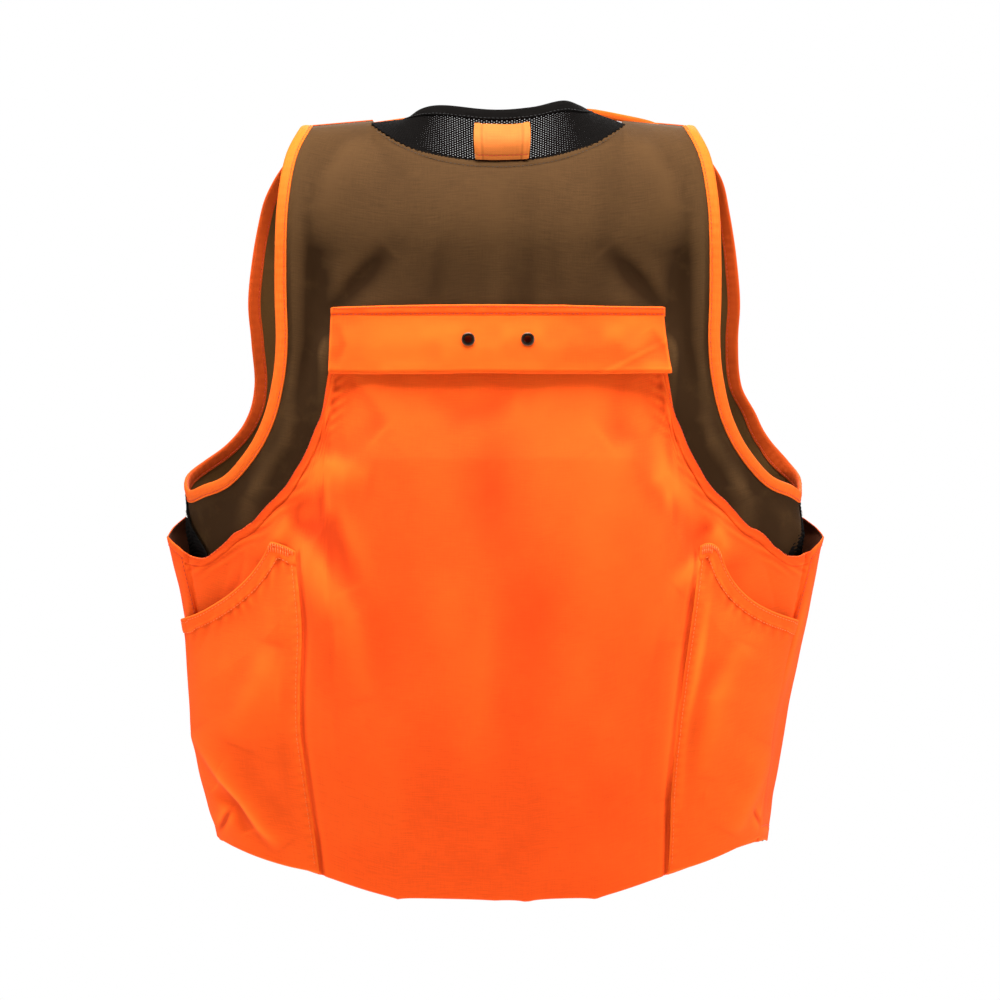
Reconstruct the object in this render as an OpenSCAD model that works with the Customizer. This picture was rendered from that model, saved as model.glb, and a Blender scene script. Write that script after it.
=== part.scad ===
// Blaze orange upland vest with a rear game bag.
// +Z is up, the wearer faces +Y and +X is the wearer's right. The origin is the middle of the
// shoulder line, where the vest hangs on the shoulders. Millimetres.

/* [Body form] */
// Half width of the body at the underarm
chest_w = 277; // [272:1:280]
// Half width of the body at the hem
hem_w = 240; // [234:1:241]
// Half depth of the body, front to back
body_d = 105; // [98:1:112]
// Height of the shoulder arch above the straight part of the back
arch_h = 120; // [114:1:126]
// Squareness of the body's section, where 2 is an ellipse
squareness = 2.5; // [2.4:0.1:2.6]

/* [Cloth and trim] */
// Thickness of the brown body cloth with its lining
cloth_t = 2; // [1.8:0.1:2.1]
// Thickness of the orange bag and pocket cloth
bag_t = 1.6; // [1.2:0.1:1.7]
// Width of the orange binding round the armholes
binding_w = 10; // [8:0.5:12]

/* [Game bag] */
// How far the middle of the bag stands off the back
bag_bulge = 30; // [24:1:34]
// Gap between the rim of the bag and the body at the sides
rim_w = 295; // [292:1:297]
// How far the patch pockets stand off the bag
side_pocket_bulge = 11; // [8:1:12]
// Distance from the shoulder line to the top edge of the flap
flap_top = 169; // [166:1:172]
// Drop of the flap from its seam
flap_drop = 60; // [56:1:62]
// Bore radius of the flap's eyelets
eyelet_r = 3.2; // [3:0.1:3.4]
// Spacing of the two eyelets
eyelet_gap = 53; // [48:1:60]

/* [Front] */
// Width of a shell pocket
shell_w = 150; // [140:1:154]
// Depth of a shell pocket
shell_d = 30; // [24:1:32]
// Drop of a shell pocket's flap
pocket_flap_drop = 55; // [50:1:60]
// Height of the zip slider
slider_h = 16; // [14:1:18]

/* [Hidden] */

knee_z = -arch_h;          // the shoulder arch starts here
underarm_z = -346;         // lowest row of the armhole
front_hem_z = -650;        // hem of the two fronts
neck_w = 112;              // half width of the neckline at the shoulder seam
neck_drop = 35;            // depth of the back neckline
side_turn = 89.7;          // the back pieces stop just short of the side line
front_turn = 84.5;         // the fronts start past the bend at the side seam
bag_top = -190;            // upper edge of the bag, under the flap
bag_gap = 3.8;             // least offset of the bag cloth over the body cloth
front_gap = 3.4;           // least offset of the orange front over the brown front
layer_gap = 0.3;           // clearance between cloth layers
binding_gap = 1.2;         // clearance between a panel and the binding round it
hem_band = 6;              // height of the bottom hem strip
zip_edge = 10;             // the brown front stops this far from the centre line
zip_top = -170;            // top of the zip chain
zip_foot = -640;           // bottom of the zip chain
eyelet_z = -199;           // height of the eyelets
pocket_x = 130;            // centre of a shell pocket, sideways
pocket_top = -450;         // open top edge of a shell pocket
pocket_foot = -597;        // bottom of a shell pocket
pocket_lean = -7.9;        // turn of the flat pocket front to follow the body
hinge_z = -438;            // hinge line of a pocket flap
brown = [0.27, 0.19, 0.11];
orange = [0.93, 0.34, 0.1];
bright = [0.96, 0.42, 0.13];
black = [0.05, 0.05, 0.05];
metal = [0.3, 0.28, 0.26];

// Half width of the body at each height
body_line = [[-710, hem_w - 4], [-650, hem_w + 2], [-560, 252], [-470, 262], [-390, 271],
    [-335, chest_w], [-200, 262], [0, 250]];
// Half width of the orange outer layer at each height
outer_line = [[-700, 243], [-650, 247], [-617, 254], [-576, 262], [-522, 269], [-468, 277],
    [-414, 287], [-373, rim_w]];
// Armhole edges, from the underarm to the shoulder: x and z
armhole_back = [[275, -333], [262, -328], [244, -320], [224, -297], [210, -270], [201, -234],
    [198, -198], [199, -162], [199, -126], [197, -72], [190, -27], [178, 0]];
armhole_front = [[276, -321], [262, -306], [246, -293], [234, -279], [227, -266], [218, -239],
    [218, -198], [220, -162], [215, -117], [208, -77], [202, -54], [191, -27], [178, 0]];
// Front neckline and front edge: half distance from the centre line at each height
front_edge = [[-165, zip_edge], [-150, 22], [-125, 42], [-95, 66], [-60, 88], [-30, 101],
    [0, neck_w]];
// Bottom edge of the back: height at each distance from the centre line
hem_line = [[0, -703], [85, -698], [160, -676], [235, -650], [300, -640]];
// Upper edge of the bag: height at each distance from the centre line
bag_line = [[147, bag_top], [151, -229], [154, -247], [157, -265], [163, -279], [170, -297],
    [180, -315], [191, -333], [206, -347], [222, -364], [237, -373], [250, -384], [268, -394],
    [282, -390], [291, -381], [295, -375]];
// Mouth and inner seam of a side patch pocket
mouth_line = [[180, -380], [198, -384], [217, -410], [237, -432], [260, -444], [290, -452]];
pocket_seam = [[-676, 156], [-633, 160], [-578, 166], [-545, 170], [-469, 174], [-380, 180]];
// Upper edge of the orange front: height at each distance from the centre line
lower_line = [[0, -330], [200, -332], [240, -342], [272, -351], [290, -366], [295, -375]];

function unit(v) = min(1, max(0, v));
function mix(a, b, t) = a + (b - a) * t;
function swap(pairs) = [for (p = pairs) [p[1], p[0]]];
function mirrored(list) = [for (i = [len(list) - 1:-1:0]) if (list[i] != 0) -list[i], each list];
function steps(n) = [for (i = [0:n]) i / n];

// The body's section: x and y at a turn from the back's middle, for half width a and depth b
function section_x(turn, a) = sign(turn) * a * pow(sin(abs(turn)), 2 / squareness);
function section_y(turn, b) = b * pow(max(0, cos(turn)), 2 / squareness);
function turn_at(x, a) = asin(pow(min(1, abs(x) / a), squareness / 2));
function bow(x, a) = pow(max(0, 1 - pow(min(1, abs(x) / a), squareness)), 1 / squareness);

// A point of the body surface, raised by o. side is -1 at the back and 1 at the front
function on_body(turn, z, o, side) = let (
    t = unit((z - knee_z) / arch_h),
    x = section_x(turn, lookup(z, body_line) + o)
) [x, side * section_y(turn, body_d + o) * sqrt(1 - t * t),
    z + o * t - 0.09 * t * max(0, abs(x) - 100)];
function body_y(x, z, o) = (body_d + o) * bow(x, lookup(z, body_line) + o);

// A point of the orange outer layer. top is its upper edge at x, least its least offset over
// the body, stand how far it bulges, and from where on the rim hangs free of the body
function on_outer(turn, z, o, side, line, least, stand, free_from) = let (
    x = section_x(turn, lookup(z, outer_line) - bag_t + o),
    top = lookup(abs(x), line),
    hem = side < 0 ? lookup(abs(x), hem_line) : front_hem_z,
    puff = stand * sin(90 * unit((top - z - 30) / 230)) * sin(90 * unit((z - hem) / 160)),
    free = max(unit((abs(x) - free_from) / 50), unit((top - z - 15) / 100)),
    y = mix(body_y(x, z, least + o), section_y(turn, body_d + least + puff + o), free)
) [x, side * y, z];
function on_bag(turn, z, o) = on_outer(turn, z, o, -1, bag_line, bag_gap, bag_bulge, 235);
function on_lower(turn, z, o) = on_outer(turn, z, o, 1, lower_line, front_gap, 8, 215);

// Closed sheet between two matching grids of points
module shell(inner, outer) {
    m = len(inner);
    n = len(inner[0]);
    k = m * n;
    along = inner[0][1] - inner[0][0];
    up = inner[1][0] - inner[0][0];
    turned = cross(along, up) * (outer[0][0] - inner[0][0]) > 0;
    rim = [for (c = [0:n - 1]) c, for (r = [1:m - 1]) r * n + n - 1,
        for (c = [n - 2:-1:0]) (m - 1) * n + c, for (r = [m - 2:-1:1]) r * n];
    skins = [for (r = [0:m - 2], c = [0:n - 2]) let (a = r * n + c, b = a + n) each [
        [a, b, b + 1], [a, b + 1, a + 1],
        [k + a, k + b + 1, k + b], [k + a, k + a + 1, k + b + 1]]];
    walls = [for (i = [0:len(rim) - 1]) let (p = rim[i], q = rim[(i + 1) % len(rim)]) each [
        [p, q, k + q], [p, k + q, k + p]]];
    faces = [for (f = concat(skins, walls)) turned ? [f[2], f[1], f[0]] : f];
    polyhedron([for (row = inner) each row, for (row = outer) each row], faces);
}

// Edge path moved towards the panel by w, in the x and z plane
function inward(path, w) = [for (i = [0:len(path) - 1]) let (
    a = path[max(0, i - 1)],
    b = path[min(len(path) - 1, i + 1)],
    d = (b - a) / norm(b - a)
) path[i] + w * [-d[1], d[0]]];
function turn_on(x, z) = sign(x) * turn_at(x, lookup(z, body_line));

arch_rows = [for (a = [18, 36, 54, 72, 89.5]) knee_z + arch_h * sin(a)];
hem_rise = function (x) lookup(abs(x), hem_line) - hem_line[0][1];

// ---- back ----

back_rows = [-703, -640, -570, -500, -440, -390, underarm_z, -338, -328, -320, -297, -270, -234,
    -180, knee_z, each arch_rows];

function neckline(x) = -neck_drop * pow(unit(1 - pow(min(1, abs(x) / neck_w), 2.2)), 0.8);
// Height of a back row at x, eased to the hem below and to the neckline above
function back_z(row_z, x, foot) = row_z + (hem_rise(x) + foot) * unit((-500 - row_z) / 203)
    + neckline(x) * pow(unit((row_z + 150) / 150), 2);
function back_edge(z, gap) = z <= underarm_z ? side_turn
    : turn_on(lookup(z, swap(inward(armhole_back, binding_w + gap))), z);

// Columns of a back layer at one row: every layer shares them, so that the layers nest
function back_row(z, columns, foot, o) = [for (t = columns) let (
    turn = t * back_edge(z, binding_gap),
    x = section_x(turn, lookup(z, body_line))
) on_body(turn, back_z(z, x, foot), o, -1)];
back_columns = [for (i = [-7:7]) i / 7];

module back_panel() {
    function grid(o) = [for (z = back_rows) back_row(z, back_columns, hem_band, o)];
    color(brown) shell(grid(0), grid(cloth_t));
}

// Liner of the bag, on the back panel from the hem to just under the flap
module bag_liner() {
    low = cloth_t + layer_gap;
    columns = [for (i = [-5:5]) i / 7];
    function grid(o) = [for (z = back_rows) if (z < -230) back_row(z, columns, hem_band, o)];
    color([0.2, 0.16, 0.12]) shell(grid(low), grid(low + 0.8));
}

bag_columns = mirrored([0, 50, 100, 135, 147, 151, 157, 170, 191, 222, 250, 268, 282, 291]);

module game_bag_panel() {
    turns = [-side_turn, for (x = bag_columns) sign(x) * turn_at(x, rim_w), side_turn];
    function grid(o) = [for (s = steps(9)) [for (turn = turns) let (
        x_top = section_x(turn, rim_w),
        x_foot = section_x(turn, lookup(-680, outer_line)),
        z = mix(lookup(abs(x_foot), hem_line) + hem_band, lookup(abs(x_top), bag_line), s)
    ) on_bag(turn, z, o)]];
    color(orange) shell(grid(0), grid(bag_t));
}

// Patch pocket over the side of the bag, open at its curved mouth
module side_pocket(side) {
    function grid(o) = [for (s = steps(7)) [for (t = steps(8)) let (
        x_top = mix(180, 291, t),
        foot = lookup(mix(156, 247, t), hem_line) + hem_band,
        z = mix(foot, lookup(x_top, mouth_line), s),
        seam = turn_at(lookup(z, pocket_seam), lookup(z, outer_line)),
        puff = side_pocket_bulge * pow(sin(180 * unit(0.12 + 0.76 * t)), 0.6) * sin(90 * s)
    ) on_bag(side * mix(seam, side_turn, t), z, bag_t + layer_gap + o + puff)]];
    color(bright) shell(grid(0), grid(bag_t));
}
module side_pocket_left() side_pocket(-1);
module side_pocket_right() side_pocket(1);

// Dense stitch tabs at the top inner corner of each patch pocket
module pocket_bartacks() {
    turn = turn_at(188, lookup(-384, outer_line));
    color(bright) for (side = [-1, 1]) {
        at = on_bag(side * turn, -376, bag_t + 0.5);
        translate(at) rotate([0, 0, side * 33]) translate([-7, -2.6, -3]) cube([14, 1.4, 6]);
    }
}

module bottom_hem() {
    function grid(o) = [for (foot = [0, hem_band - layer_gap])
        back_row(back_rows[0], back_columns, foot, o)];
    color(orange) shell(grid(0), grid(bag_gap + bag_t));
}

// Pleated elastic below the armhole, a triangle that widens downwards
module side_elastic(side) {
    low = cloth_t + layer_gap;
    function grid(o) = [for (s = steps(5)) [for (t = steps(2)) let (
        turn = side_turn - mix(1, 9, s) * t
    ) on_body(side * turn, mix(-350, -415, s), o, -1)]];
    color(black) shell(grid(low), grid(low + 1.5));
}
module side_elastic_left() side_elastic(-1);
module side_elastic_right() side_elastic(1);

// Binding folded over an armhole edge, from the underarm to the shoulder
module armhole_binding(path, side, face) {
    inner_path = inward(path, binding_w);
    function grid(o) = [for (edge = [inner_path, path]) [for (p = edge) let (
        z = min(p[1], -0.02)
    ) on_body(side * turn_at(p[0], lookup(z, body_line)), z, o, face)]];
    color(bright) shell(grid(-0.6), grid(cloth_t + 0.8));
}
module armhole_binding_back_left() armhole_binding(armhole_back, -1, -1);
module armhole_binding_back_right() armhole_binding(armhole_back, 1, -1);

// ---- collar ----

// Standing collar: u runs round the neck from -1 to 1, r from the neckline to the top edge
function collar_point(u, r, o) = let (
    x = neck_w * u,
    low = on_body(turn_on(x, -20), min(-0.05, neckline(x)), cloth_t, -1),
    high = [78 * sin(90 * u), -0.8 - 62 * pow(cos(90 * u), 0.8),
        7 + 5 * pow(sin(180 * abs(u)), 2) - 5 * pow(abs(u), 4)],
    out = [0.5 * sin(90 * u), -1, 0.15]
) mix(low, high, r) + o * out + [0, -0.2, 0.2];

module collar_strip(r0, r1, rows, low, high) {
    function grid(o) = [for (s = steps(rows)) [for (t = steps(18)) let (u = mix(-0.99, 0.99, t))
        collar_point(u, mix(r0, r1, s), o)]];
    shell(grid(low), grid(high));
}
module neck_mesh() color(black) collar_strip(0.03, 0.79, 3, 0, 1.2);
module collar_binding() color(black) collar_strip(0.8, 1, 1, -0.4, 1.6);

module hang_loop() {
    function grid(o) = [for (s = steps(8)) [for (x = [-22.5, -8, 8, 22.5])
        collar_point(x / neck_w, mix(0.02, 0.78, s), 1.5 + 7.5 * sin(180 * s) + o)]];
    color(bright) shell(grid(0), grid(1.4));
}

// ---- bag flap ----

flap_half = 152;
flap_t = 1.8;              // thickness of the doubled flap
flap_seam = 9;             // height of the seam band above the flap's hinge line
// How far the flap stands off its seam plane at height z
function flap_raise(z) = let (s = (-flap_top - flap_seam - z) / (flap_drop - flap_seam))
    6 * sin(90 * unit(4.5 * s)) + 2.5 * unit(s);

module flap_strip(rows, half, low, high) {
    function grid(o) = [for (z = rows) [for (t = steps(16)) let (x = mix(-half, half, t))
        on_body(turn_on(x, z), z, o + flap_raise(z), -1)]];
    shell(grid(low), grid(high));
}

module flap_seam_band() {
    color(bright) flap_strip([-flap_top - flap_seam + 0.5, -flap_top], flap_half - 3, 2.6, 4.2);
}

// Flap with a plain hole for each eyelet barrel
module bag_flap() {
    color(bright) difference() {
        flap_strip([for (d = [flap_seam, 15, 21, 30, 45, flap_drop]) -flap_top - d], flap_half,
            2.6, 2.6 + flap_t);
        for (side = [-1, 1])
            translate([side * eyelet_gap / 2, 0, eyelet_z]) rotate([90, 0, 0])
                cylinder(h = 200, r = eyelet_r + 1.2, $fn = 48);
    }
}

eyelet_y = -section_y(turn_on(eyelet_gap / 2, eyelet_z),
    body_d + 2.6 + flap_t + flap_raise(eyelet_z));

module eyelet_pair(profile) {
    for (side = [-1, 1])
        translate([side * eyelet_gap / 2, eyelet_y, eyelet_z]) rotate([90, 0, 0])
            rotate_extrude($fn = 48) polygon(profile);
}
// Barrel and outer flange
module flap_eyelets() {
    color(metal) eyelet_pair([[eyelet_r, -2.9], [eyelet_r + 0.9, -2.9], [eyelet_r + 0.9, 0.45],
        [6, 0.45], [6, 0.9], [5.2, 1.4], [eyelet_r, 1.4]]);
}
// Washers that the barrels are rolled over, inside the flap
module flap_eyelet_washers() {
    color(metal) eyelet_pair([[eyelet_r + 1, -2.9], [5.6, -2.9], [5.6, -2.3],
        [eyelet_r + 1, -2.3]]);
}

strip_x = [68, 132];
function strip_turns(z, a) = [for (t = steps(4)) turn_at(mix(strip_x[0], strip_x[1], t), a)];
module bag_loop_strips() {
    function grid(side, o) = [for (z = [-216, -206, -198]) [for (turn = strip_turns(z, rim_w))
        on_bag(side * turn, z, bag_t + o)]];
    color(black) for (side = [-1, 1]) shell(grid(side, 1.6), grid(side, 2.4));
}
module flap_hook_strips() {
    function grid(side, o) = [for (z = [-216, -206, -199])
        [for (turn = strip_turns(z, lookup(z, body_line)))
            on_body(side * turn, z, 2.6 + flap_raise(z) - o, -1)]];
    color(black) for (side = [-1, 1]) shell(grid(side, 1.4), grid(side, 0.5));
}

// ---- fronts ----

front_rows = [front_hem_z, -600, -540, -480, -420, -370, underarm_z + 6, -318, -306, -293, -279,
    -262, -239, -198, -165, -142, knee_z, each arch_rows];

function front_outer_turn(z, gap) = z <= underarm_z + 6 ? front_turn
    : turn_on(lookup(z, swap(inward(armhole_front, binding_w + gap))), z);
function front_inner_turn(z) = turn_on(lookup(z, front_edge), z);

module front_cloth(side, rows, low, high) {
    function grid(o) = [for (z = rows) [for (t = steps(7))
        on_body(side * mix(front_inner_turn(z), front_outer_turn(z, binding_gap), t), z, o, 1)]];
    shell(grid(low), grid(high));
}
module front_panel(side) {
    color(brown) front_cloth(side, front_rows, 0, cloth_t);
}
module front_panel_left() front_panel(-1);
module front_panel_right() front_panel(1);

// Blaze orange shoulder piece
module front_yoke(side) {
    low = cloth_t + layer_gap;
    color(orange) front_cloth(side, [-142, knee_z, each arch_rows], low, low + 1.2);
}
module front_yoke_left() front_yoke(-1);
module front_yoke_right() front_yoke(1);

module armhole_binding_front_left() armhole_binding(front_ring, -1, 1);
module armhole_binding_front_right() armhole_binding(front_ring, 1, 1);
front_ring = [for (p = armhole_front) p[1] < -320 ? [274, p[1]] : p];

// Orange lower front, whose upper edge carries the side opening's front rim
module front_lower_panel(side) {
    function grid(o) = [for (s = steps(7)) [for (t = steps(11)) let (
        turn = mix(turn_at(zip_edge + 1, rim_w), front_turn, t),
        x = section_x(turn, rim_w),
        z = mix(front_hem_z, lookup(x, lower_line), s)
    ) on_lower(side * turn, z, o)]];
    color(orange) shell(grid(0), grid(bag_t));
}
module front_lower_panel_left() front_lower_panel(-1);
module front_lower_panel_right() front_lower_panel(1);

// Height of the lower front's outer face over the centre plane
function lower_y(x, z) = let (turn = turn_at(x, lookup(z, outer_line)))
    on_lower(turn, z, bag_t)[1];
pocket_base_y = lower_y(pocket_x, -520);

// Bellows pocket: a tray of cloth, open at the top, whose edges meet the lower front
module shell_pocket(side) {
    half = shell_w / 2;
    function wall_y(x, inset) = pocket_base_y + shell_d - inset + tan(pocket_lean) * (x - pocket_x);
    function spot(x, z, on_base, inset) = [side * x,
        on_base ? lower_y(x, z) + layer_gap : wall_y(x, inset), z];
    function columns(inset) = [for (e = [-1, 1], i = [0:4]) let (
        near = half - inset,
        u = e < 0 ? [-near, -near, -near * 0.66, -near * 0.33, 0][i]
            : [near * 0.33, near * 0.66, near, near, near][i]
    ) [pocket_x + u, (e < 0 && i == 0) || (e > 0 && i >= 3)]];
    function tray(inset) = let (cols = [for (i = [0:8]) columns(inset)[i]]) [
        for (row = [[pocket_foot, true], [pocket_foot, false], [-560, false], [-520, false],
            [-480, false], [pocket_top, false]])
            [for (c = cols) spot(c[0], row[0] == pocket_foot ? row[0] + inset : row[0],
                row[1] || c[1], inset)]];
    color(bright) shell(tray(bag_t), tray(0));
}
module shell_pocket_left() shell_pocket(-1);
module shell_pocket_right() shell_pocket(1);

// Local frame of a pocket: origin on the flap's hinge line, y' straight out of the pocket
module at_pocket(side) {
    mirror([side < 0 ? 1 : 0, 0, 0])
        translate([pocket_x, pocket_base_y + 2, hinge_z]) rotate([0, 0, pocket_lean]) children();
}
leg_y = shell_d + 2;
snap_z = -42;

module pocket_flap(side) {
    half = shell_w / 2 + 3;
    color(bright) at_pocket(side) rotate([90, 0, 90]) translate([0, 0, -half])
        linear_extrude(2 * half) polygon([[0, 0], [leg_y - 1, -1.5], [leg_y + 1.6, -6],
            [leg_y + 1.6, -pocket_flap_drop], [leg_y, -pocket_flap_drop], [leg_y, -6.5],
            [leg_y - 2, -3.2], [0, -1.6]]);
}
module pocket_flap_left() pocket_flap(-1);
module pocket_flap_right() pocket_flap(1);

module disc(side, y, h, r) {
    at_pocket(side) translate([0, y + h, snap_z]) rotate([90, 0, 0])
        cylinder(h = h, r = r, $fn = 40);
}
module pocket_snap_cap(side) {
    color(metal) {
        disc(side, leg_y + 1.6, 1.2, 7);
        disc(side, leg_y - 1.4, 1.4, 5);
    }
}
module pocket_snap_cap_left() pocket_snap_cap(-1);
module pocket_snap_cap_right() pocket_snap_cap(1);
module pocket_snap_stud_left() color(metal) disc(-1, shell_d - 1.6, 1.6, 4.5);
module pocket_snap_stud_right() color(metal) disc(1, shell_d - 1.6, 1.6, 4.5);

// ---- zip ----

module side_of(side) mirror([side < 0 ? 1 : 0, 0, 0]) children();
chain_x = [3.4, 7];
chain_y = [body_d - 0.2, body_d + 2.4];

module zipper_tape(side) {
    color(orange) side_of(side) translate([chain_x[1] + 0.2, body_d + cloth_t + 0.2, zip_foot])
        cube([12, 0.8, zip_top - zip_foot]);
}
module zipper_tape_left() zipper_tape(-1);
module zipper_tape_right() zipper_tape(1);

module zipper_chain(side) {
    color(orange) side_of(side) translate([chain_x[0], chain_y[0], zip_foot + layer_gap])
        cube([chain_x[1] - chain_x[0], chain_y[1] - chain_y[0], zip_top - zip_foot - 6]);
}
module zipper_chain_left() zipper_chain(-1);
module zipper_chain_right() zipper_chain(1);

module zip_top_stops(side) {
    color(metal) side_of(side) translate([chain_x[0] - 0.6, chain_y[0] - 0.5, zip_top - 5])
        cube([chain_x[1] - chain_x[0] + 0.6, chain_y[1] - chain_y[0] + 1, 5]);
}
module zip_top_stops_left() zip_top_stops(-1);
module zip_top_stops_right() zip_top_stops(1);

module zip_foot_box(side, h) {
    color(metal) side_of(side) translate([1.6, chain_y[0] - 0.8, zip_foot - h])
        cube([chain_x[1] - 1.6, chain_y[1] - chain_y[0] + 1.6, h]);
}
module zip_retaining_box() zip_foot_box(-1, 10);
module zip_pin_box() zip_foot_box(1, 8);

// Slider: two plates, the wedge between them and the bridge that holds the pull
slider_z = zip_foot + 2;
bail_y = body_d + 7.2;
bail_z = slider_z + slider_h / 2 + 2;
module zip_slider() {
    front_y = chain_y[1] + 0.4;
    color(metal) side_of(-1) {
        translate([0.9, front_y, slider_z]) cube([6.1, 1.8, slider_h]);
        translate([0.9, chain_y[0] - 2, slider_z]) cube([6.1, 1.6, slider_h]);
        translate([0.9, chain_y[0] - 2, slider_z]) cube([2, front_y - chain_y[0] + 3.8, slider_h]);
        for (x = [0.9, 5.9]) translate([x, front_y + 1, bail_z - 1.5])
            cube([1.1, bail_y - front_y - 0.2, 3]);
        translate([0.9, bail_y, bail_z]) rotate([0, 90, 0]) cylinder(h = 6.1, r = 0.8, $fn = 32);
    }
}
module zip_pull() {
    color(metal) side_of(-1) translate([0, bail_y, bail_z]) difference() {
        union() {
            translate([2.5, 0, 0]) rotate([0, 90, 0]) cylinder(h = 2.9, r = 2, $fn = 32);
            translate([2.5, -0.8, -8]) cube([2.9, 1.6, 8]);
            translate([0.4, -0.8, -30]) cube([7.1, 1.6, 23]);
        }
        translate([2, 0, 0]) rotate([0, 90, 0]) cylinder(h = 4, r = 1.15, $fn = 32);
    }
}

// ---- D-ring on the right front ----

ring_at = [125, body_y(125, -185, cloth_t + 4.2), -185];
ring_turn = -9;
ring_half = 13;
wire_r = 1.8;
module at_ring() translate(ring_at) rotate([0, 0, ring_turn]) children();

// Webbing fold that holds the ring's straight bar
module d_ring_tab() {
    color(orange) at_ring() difference() {
        union() {
            translate([-9, 0, 0]) rotate([0, 90, 0]) cylinder(h = 18, r = 3.6, $fn = 40);
            translate([-9, -3.6, 0]) cube([18, 2.6, 26]);
        }
        translate([-10, 0, 0]) rotate([0, 90, 0]) cylinder(h = 20, r = wire_r + 0.3, $fn = 40);
    }
}
module d_ring() {
    color(metal) at_ring() {
        translate([-ring_half, 0, 0]) rotate([0, 90, 0])
            cylinder(h = 2 * ring_half, r = wire_r, $fn = 32);
        rotate([-90, 0, 0]) rotate_extrude(angle = 180, $fn = 48) translate([ring_half, 0])
            circle(r = wire_r, $fn = 24);
    }
}

back_panel();
bag_liner();
game_bag_panel();
side_pocket_left();
side_pocket_right();
pocket_bartacks();
bottom_hem();
side_elastic_left();
side_elastic_right();
armhole_binding_back_left();
armhole_binding_back_right();
neck_mesh();
collar_binding();
hang_loop();
flap_seam_band();
bag_loop_strips();
bag_flap();
flap_eyelets();
flap_eyelet_washers();
flap_hook_strips();
front_panel_left();
front_panel_right();
front_yoke_left();
front_yoke_right();
armhole_binding_front_left();
armhole_binding_front_right();
front_lower_panel_left();
front_lower_panel_right();
shell_pocket_left();
shell_pocket_right();
pocket_snap_stud_left();
pocket_snap_stud_right();
pocket_flap_left();
pocket_flap_right();
pocket_snap_cap_left();
pocket_snap_cap_right();
zipper_tape_left();
zipper_tape_right();
zipper_chain_left();
zipper_chain_right();
zip_top_stops_left();
zip_top_stops_right();
zip_retaining_box();
zip_pin_box();
zip_slider();
zip_pull();
d_ring_tab();
d_ring();
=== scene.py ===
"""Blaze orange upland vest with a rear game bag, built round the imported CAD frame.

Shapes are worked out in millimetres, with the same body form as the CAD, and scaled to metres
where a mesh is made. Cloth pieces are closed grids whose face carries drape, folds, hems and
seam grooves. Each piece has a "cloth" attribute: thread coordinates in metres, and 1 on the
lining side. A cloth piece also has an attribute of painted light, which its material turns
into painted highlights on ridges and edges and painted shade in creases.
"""

import math

import bpy
import numpy as np
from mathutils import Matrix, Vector


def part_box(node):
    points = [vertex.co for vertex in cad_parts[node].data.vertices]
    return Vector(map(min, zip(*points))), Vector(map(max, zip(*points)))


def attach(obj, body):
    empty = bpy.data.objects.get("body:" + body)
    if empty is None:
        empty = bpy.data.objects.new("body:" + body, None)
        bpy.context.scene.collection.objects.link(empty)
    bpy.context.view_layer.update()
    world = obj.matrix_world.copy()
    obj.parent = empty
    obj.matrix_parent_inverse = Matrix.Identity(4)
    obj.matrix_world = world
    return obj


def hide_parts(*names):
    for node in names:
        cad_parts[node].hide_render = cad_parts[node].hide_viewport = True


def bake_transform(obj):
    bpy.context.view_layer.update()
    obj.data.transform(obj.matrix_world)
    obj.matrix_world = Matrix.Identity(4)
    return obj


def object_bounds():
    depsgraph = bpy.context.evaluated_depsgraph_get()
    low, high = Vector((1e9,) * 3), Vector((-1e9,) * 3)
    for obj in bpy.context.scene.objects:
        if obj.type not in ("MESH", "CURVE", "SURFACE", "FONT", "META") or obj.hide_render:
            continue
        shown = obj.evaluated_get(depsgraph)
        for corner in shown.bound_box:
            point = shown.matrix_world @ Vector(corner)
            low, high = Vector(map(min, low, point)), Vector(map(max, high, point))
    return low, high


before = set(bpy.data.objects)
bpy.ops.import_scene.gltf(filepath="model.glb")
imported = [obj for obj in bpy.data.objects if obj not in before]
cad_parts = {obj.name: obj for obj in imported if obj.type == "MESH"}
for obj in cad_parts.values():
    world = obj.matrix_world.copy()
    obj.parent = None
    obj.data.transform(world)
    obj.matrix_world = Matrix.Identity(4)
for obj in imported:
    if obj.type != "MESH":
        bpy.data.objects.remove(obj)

CAD_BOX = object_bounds()
MM = 0.001

# ---- body form, in millimetres ----

BODY_D = 105
ARCH_H = 120
KNEE_Z = -ARCH_H
SQUARENESS = 2.5
CLOTH_T = 2.0
BAG_T = 1.6
BAG_GAP = 3.8
FRONT_GAP = 3.4
BAG_BULGE = 30
POCKET_BULGE = 11
NECK_W = 112
NECK_DROP = 35
FRONT_HEM = -650
ZIP_EDGE = 10
SEAM_TURN = 73.5           # seam between the bag and the orange front, behind the side line
SIDES = {"left": -1, "right": 1}


def unit(v):
    return np.clip(v, 0.0, 1.0)


def mix(a, b, t):
    return a + (b - a) * t


def ease(t):
    t = unit(t)
    return t * t * (3 - 2 * t)


def bell(d, width):
    return np.exp(-(d / width) ** 2)


def curve_through(pairs):
    """Smooth curve through (x, y) pairs with no overshoot, level beyond its ends."""
    xs, ys = np.array(pairs, float).T
    step = np.diff(xs)
    slope = np.diff(ys) / step
    lean = np.zeros_like(ys)
    lean[0], lean[-1] = slope[0], slope[-1]
    for i in range(1, len(xs) - 1):
        if slope[i - 1] * slope[i] > 0:
            lean[i] = 2 / (1 / slope[i - 1] + 1 / slope[i])

    def at(x):
        x = np.clip(np.asarray(x, float), xs[0], xs[-1])
        i = np.clip(np.searchsorted(xs, x) - 1, 0, len(xs) - 2)
        t = (x - xs[i]) / step[i]
        s = 1 - t
        return (ys[i] * (1 + 2 * t) * s * s + ys[i + 1] * t * t * (3 - 2 * t)
                + step[i] * (lean[i] * t * s * s - lean[i + 1] * t * t * s))
    return at


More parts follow.
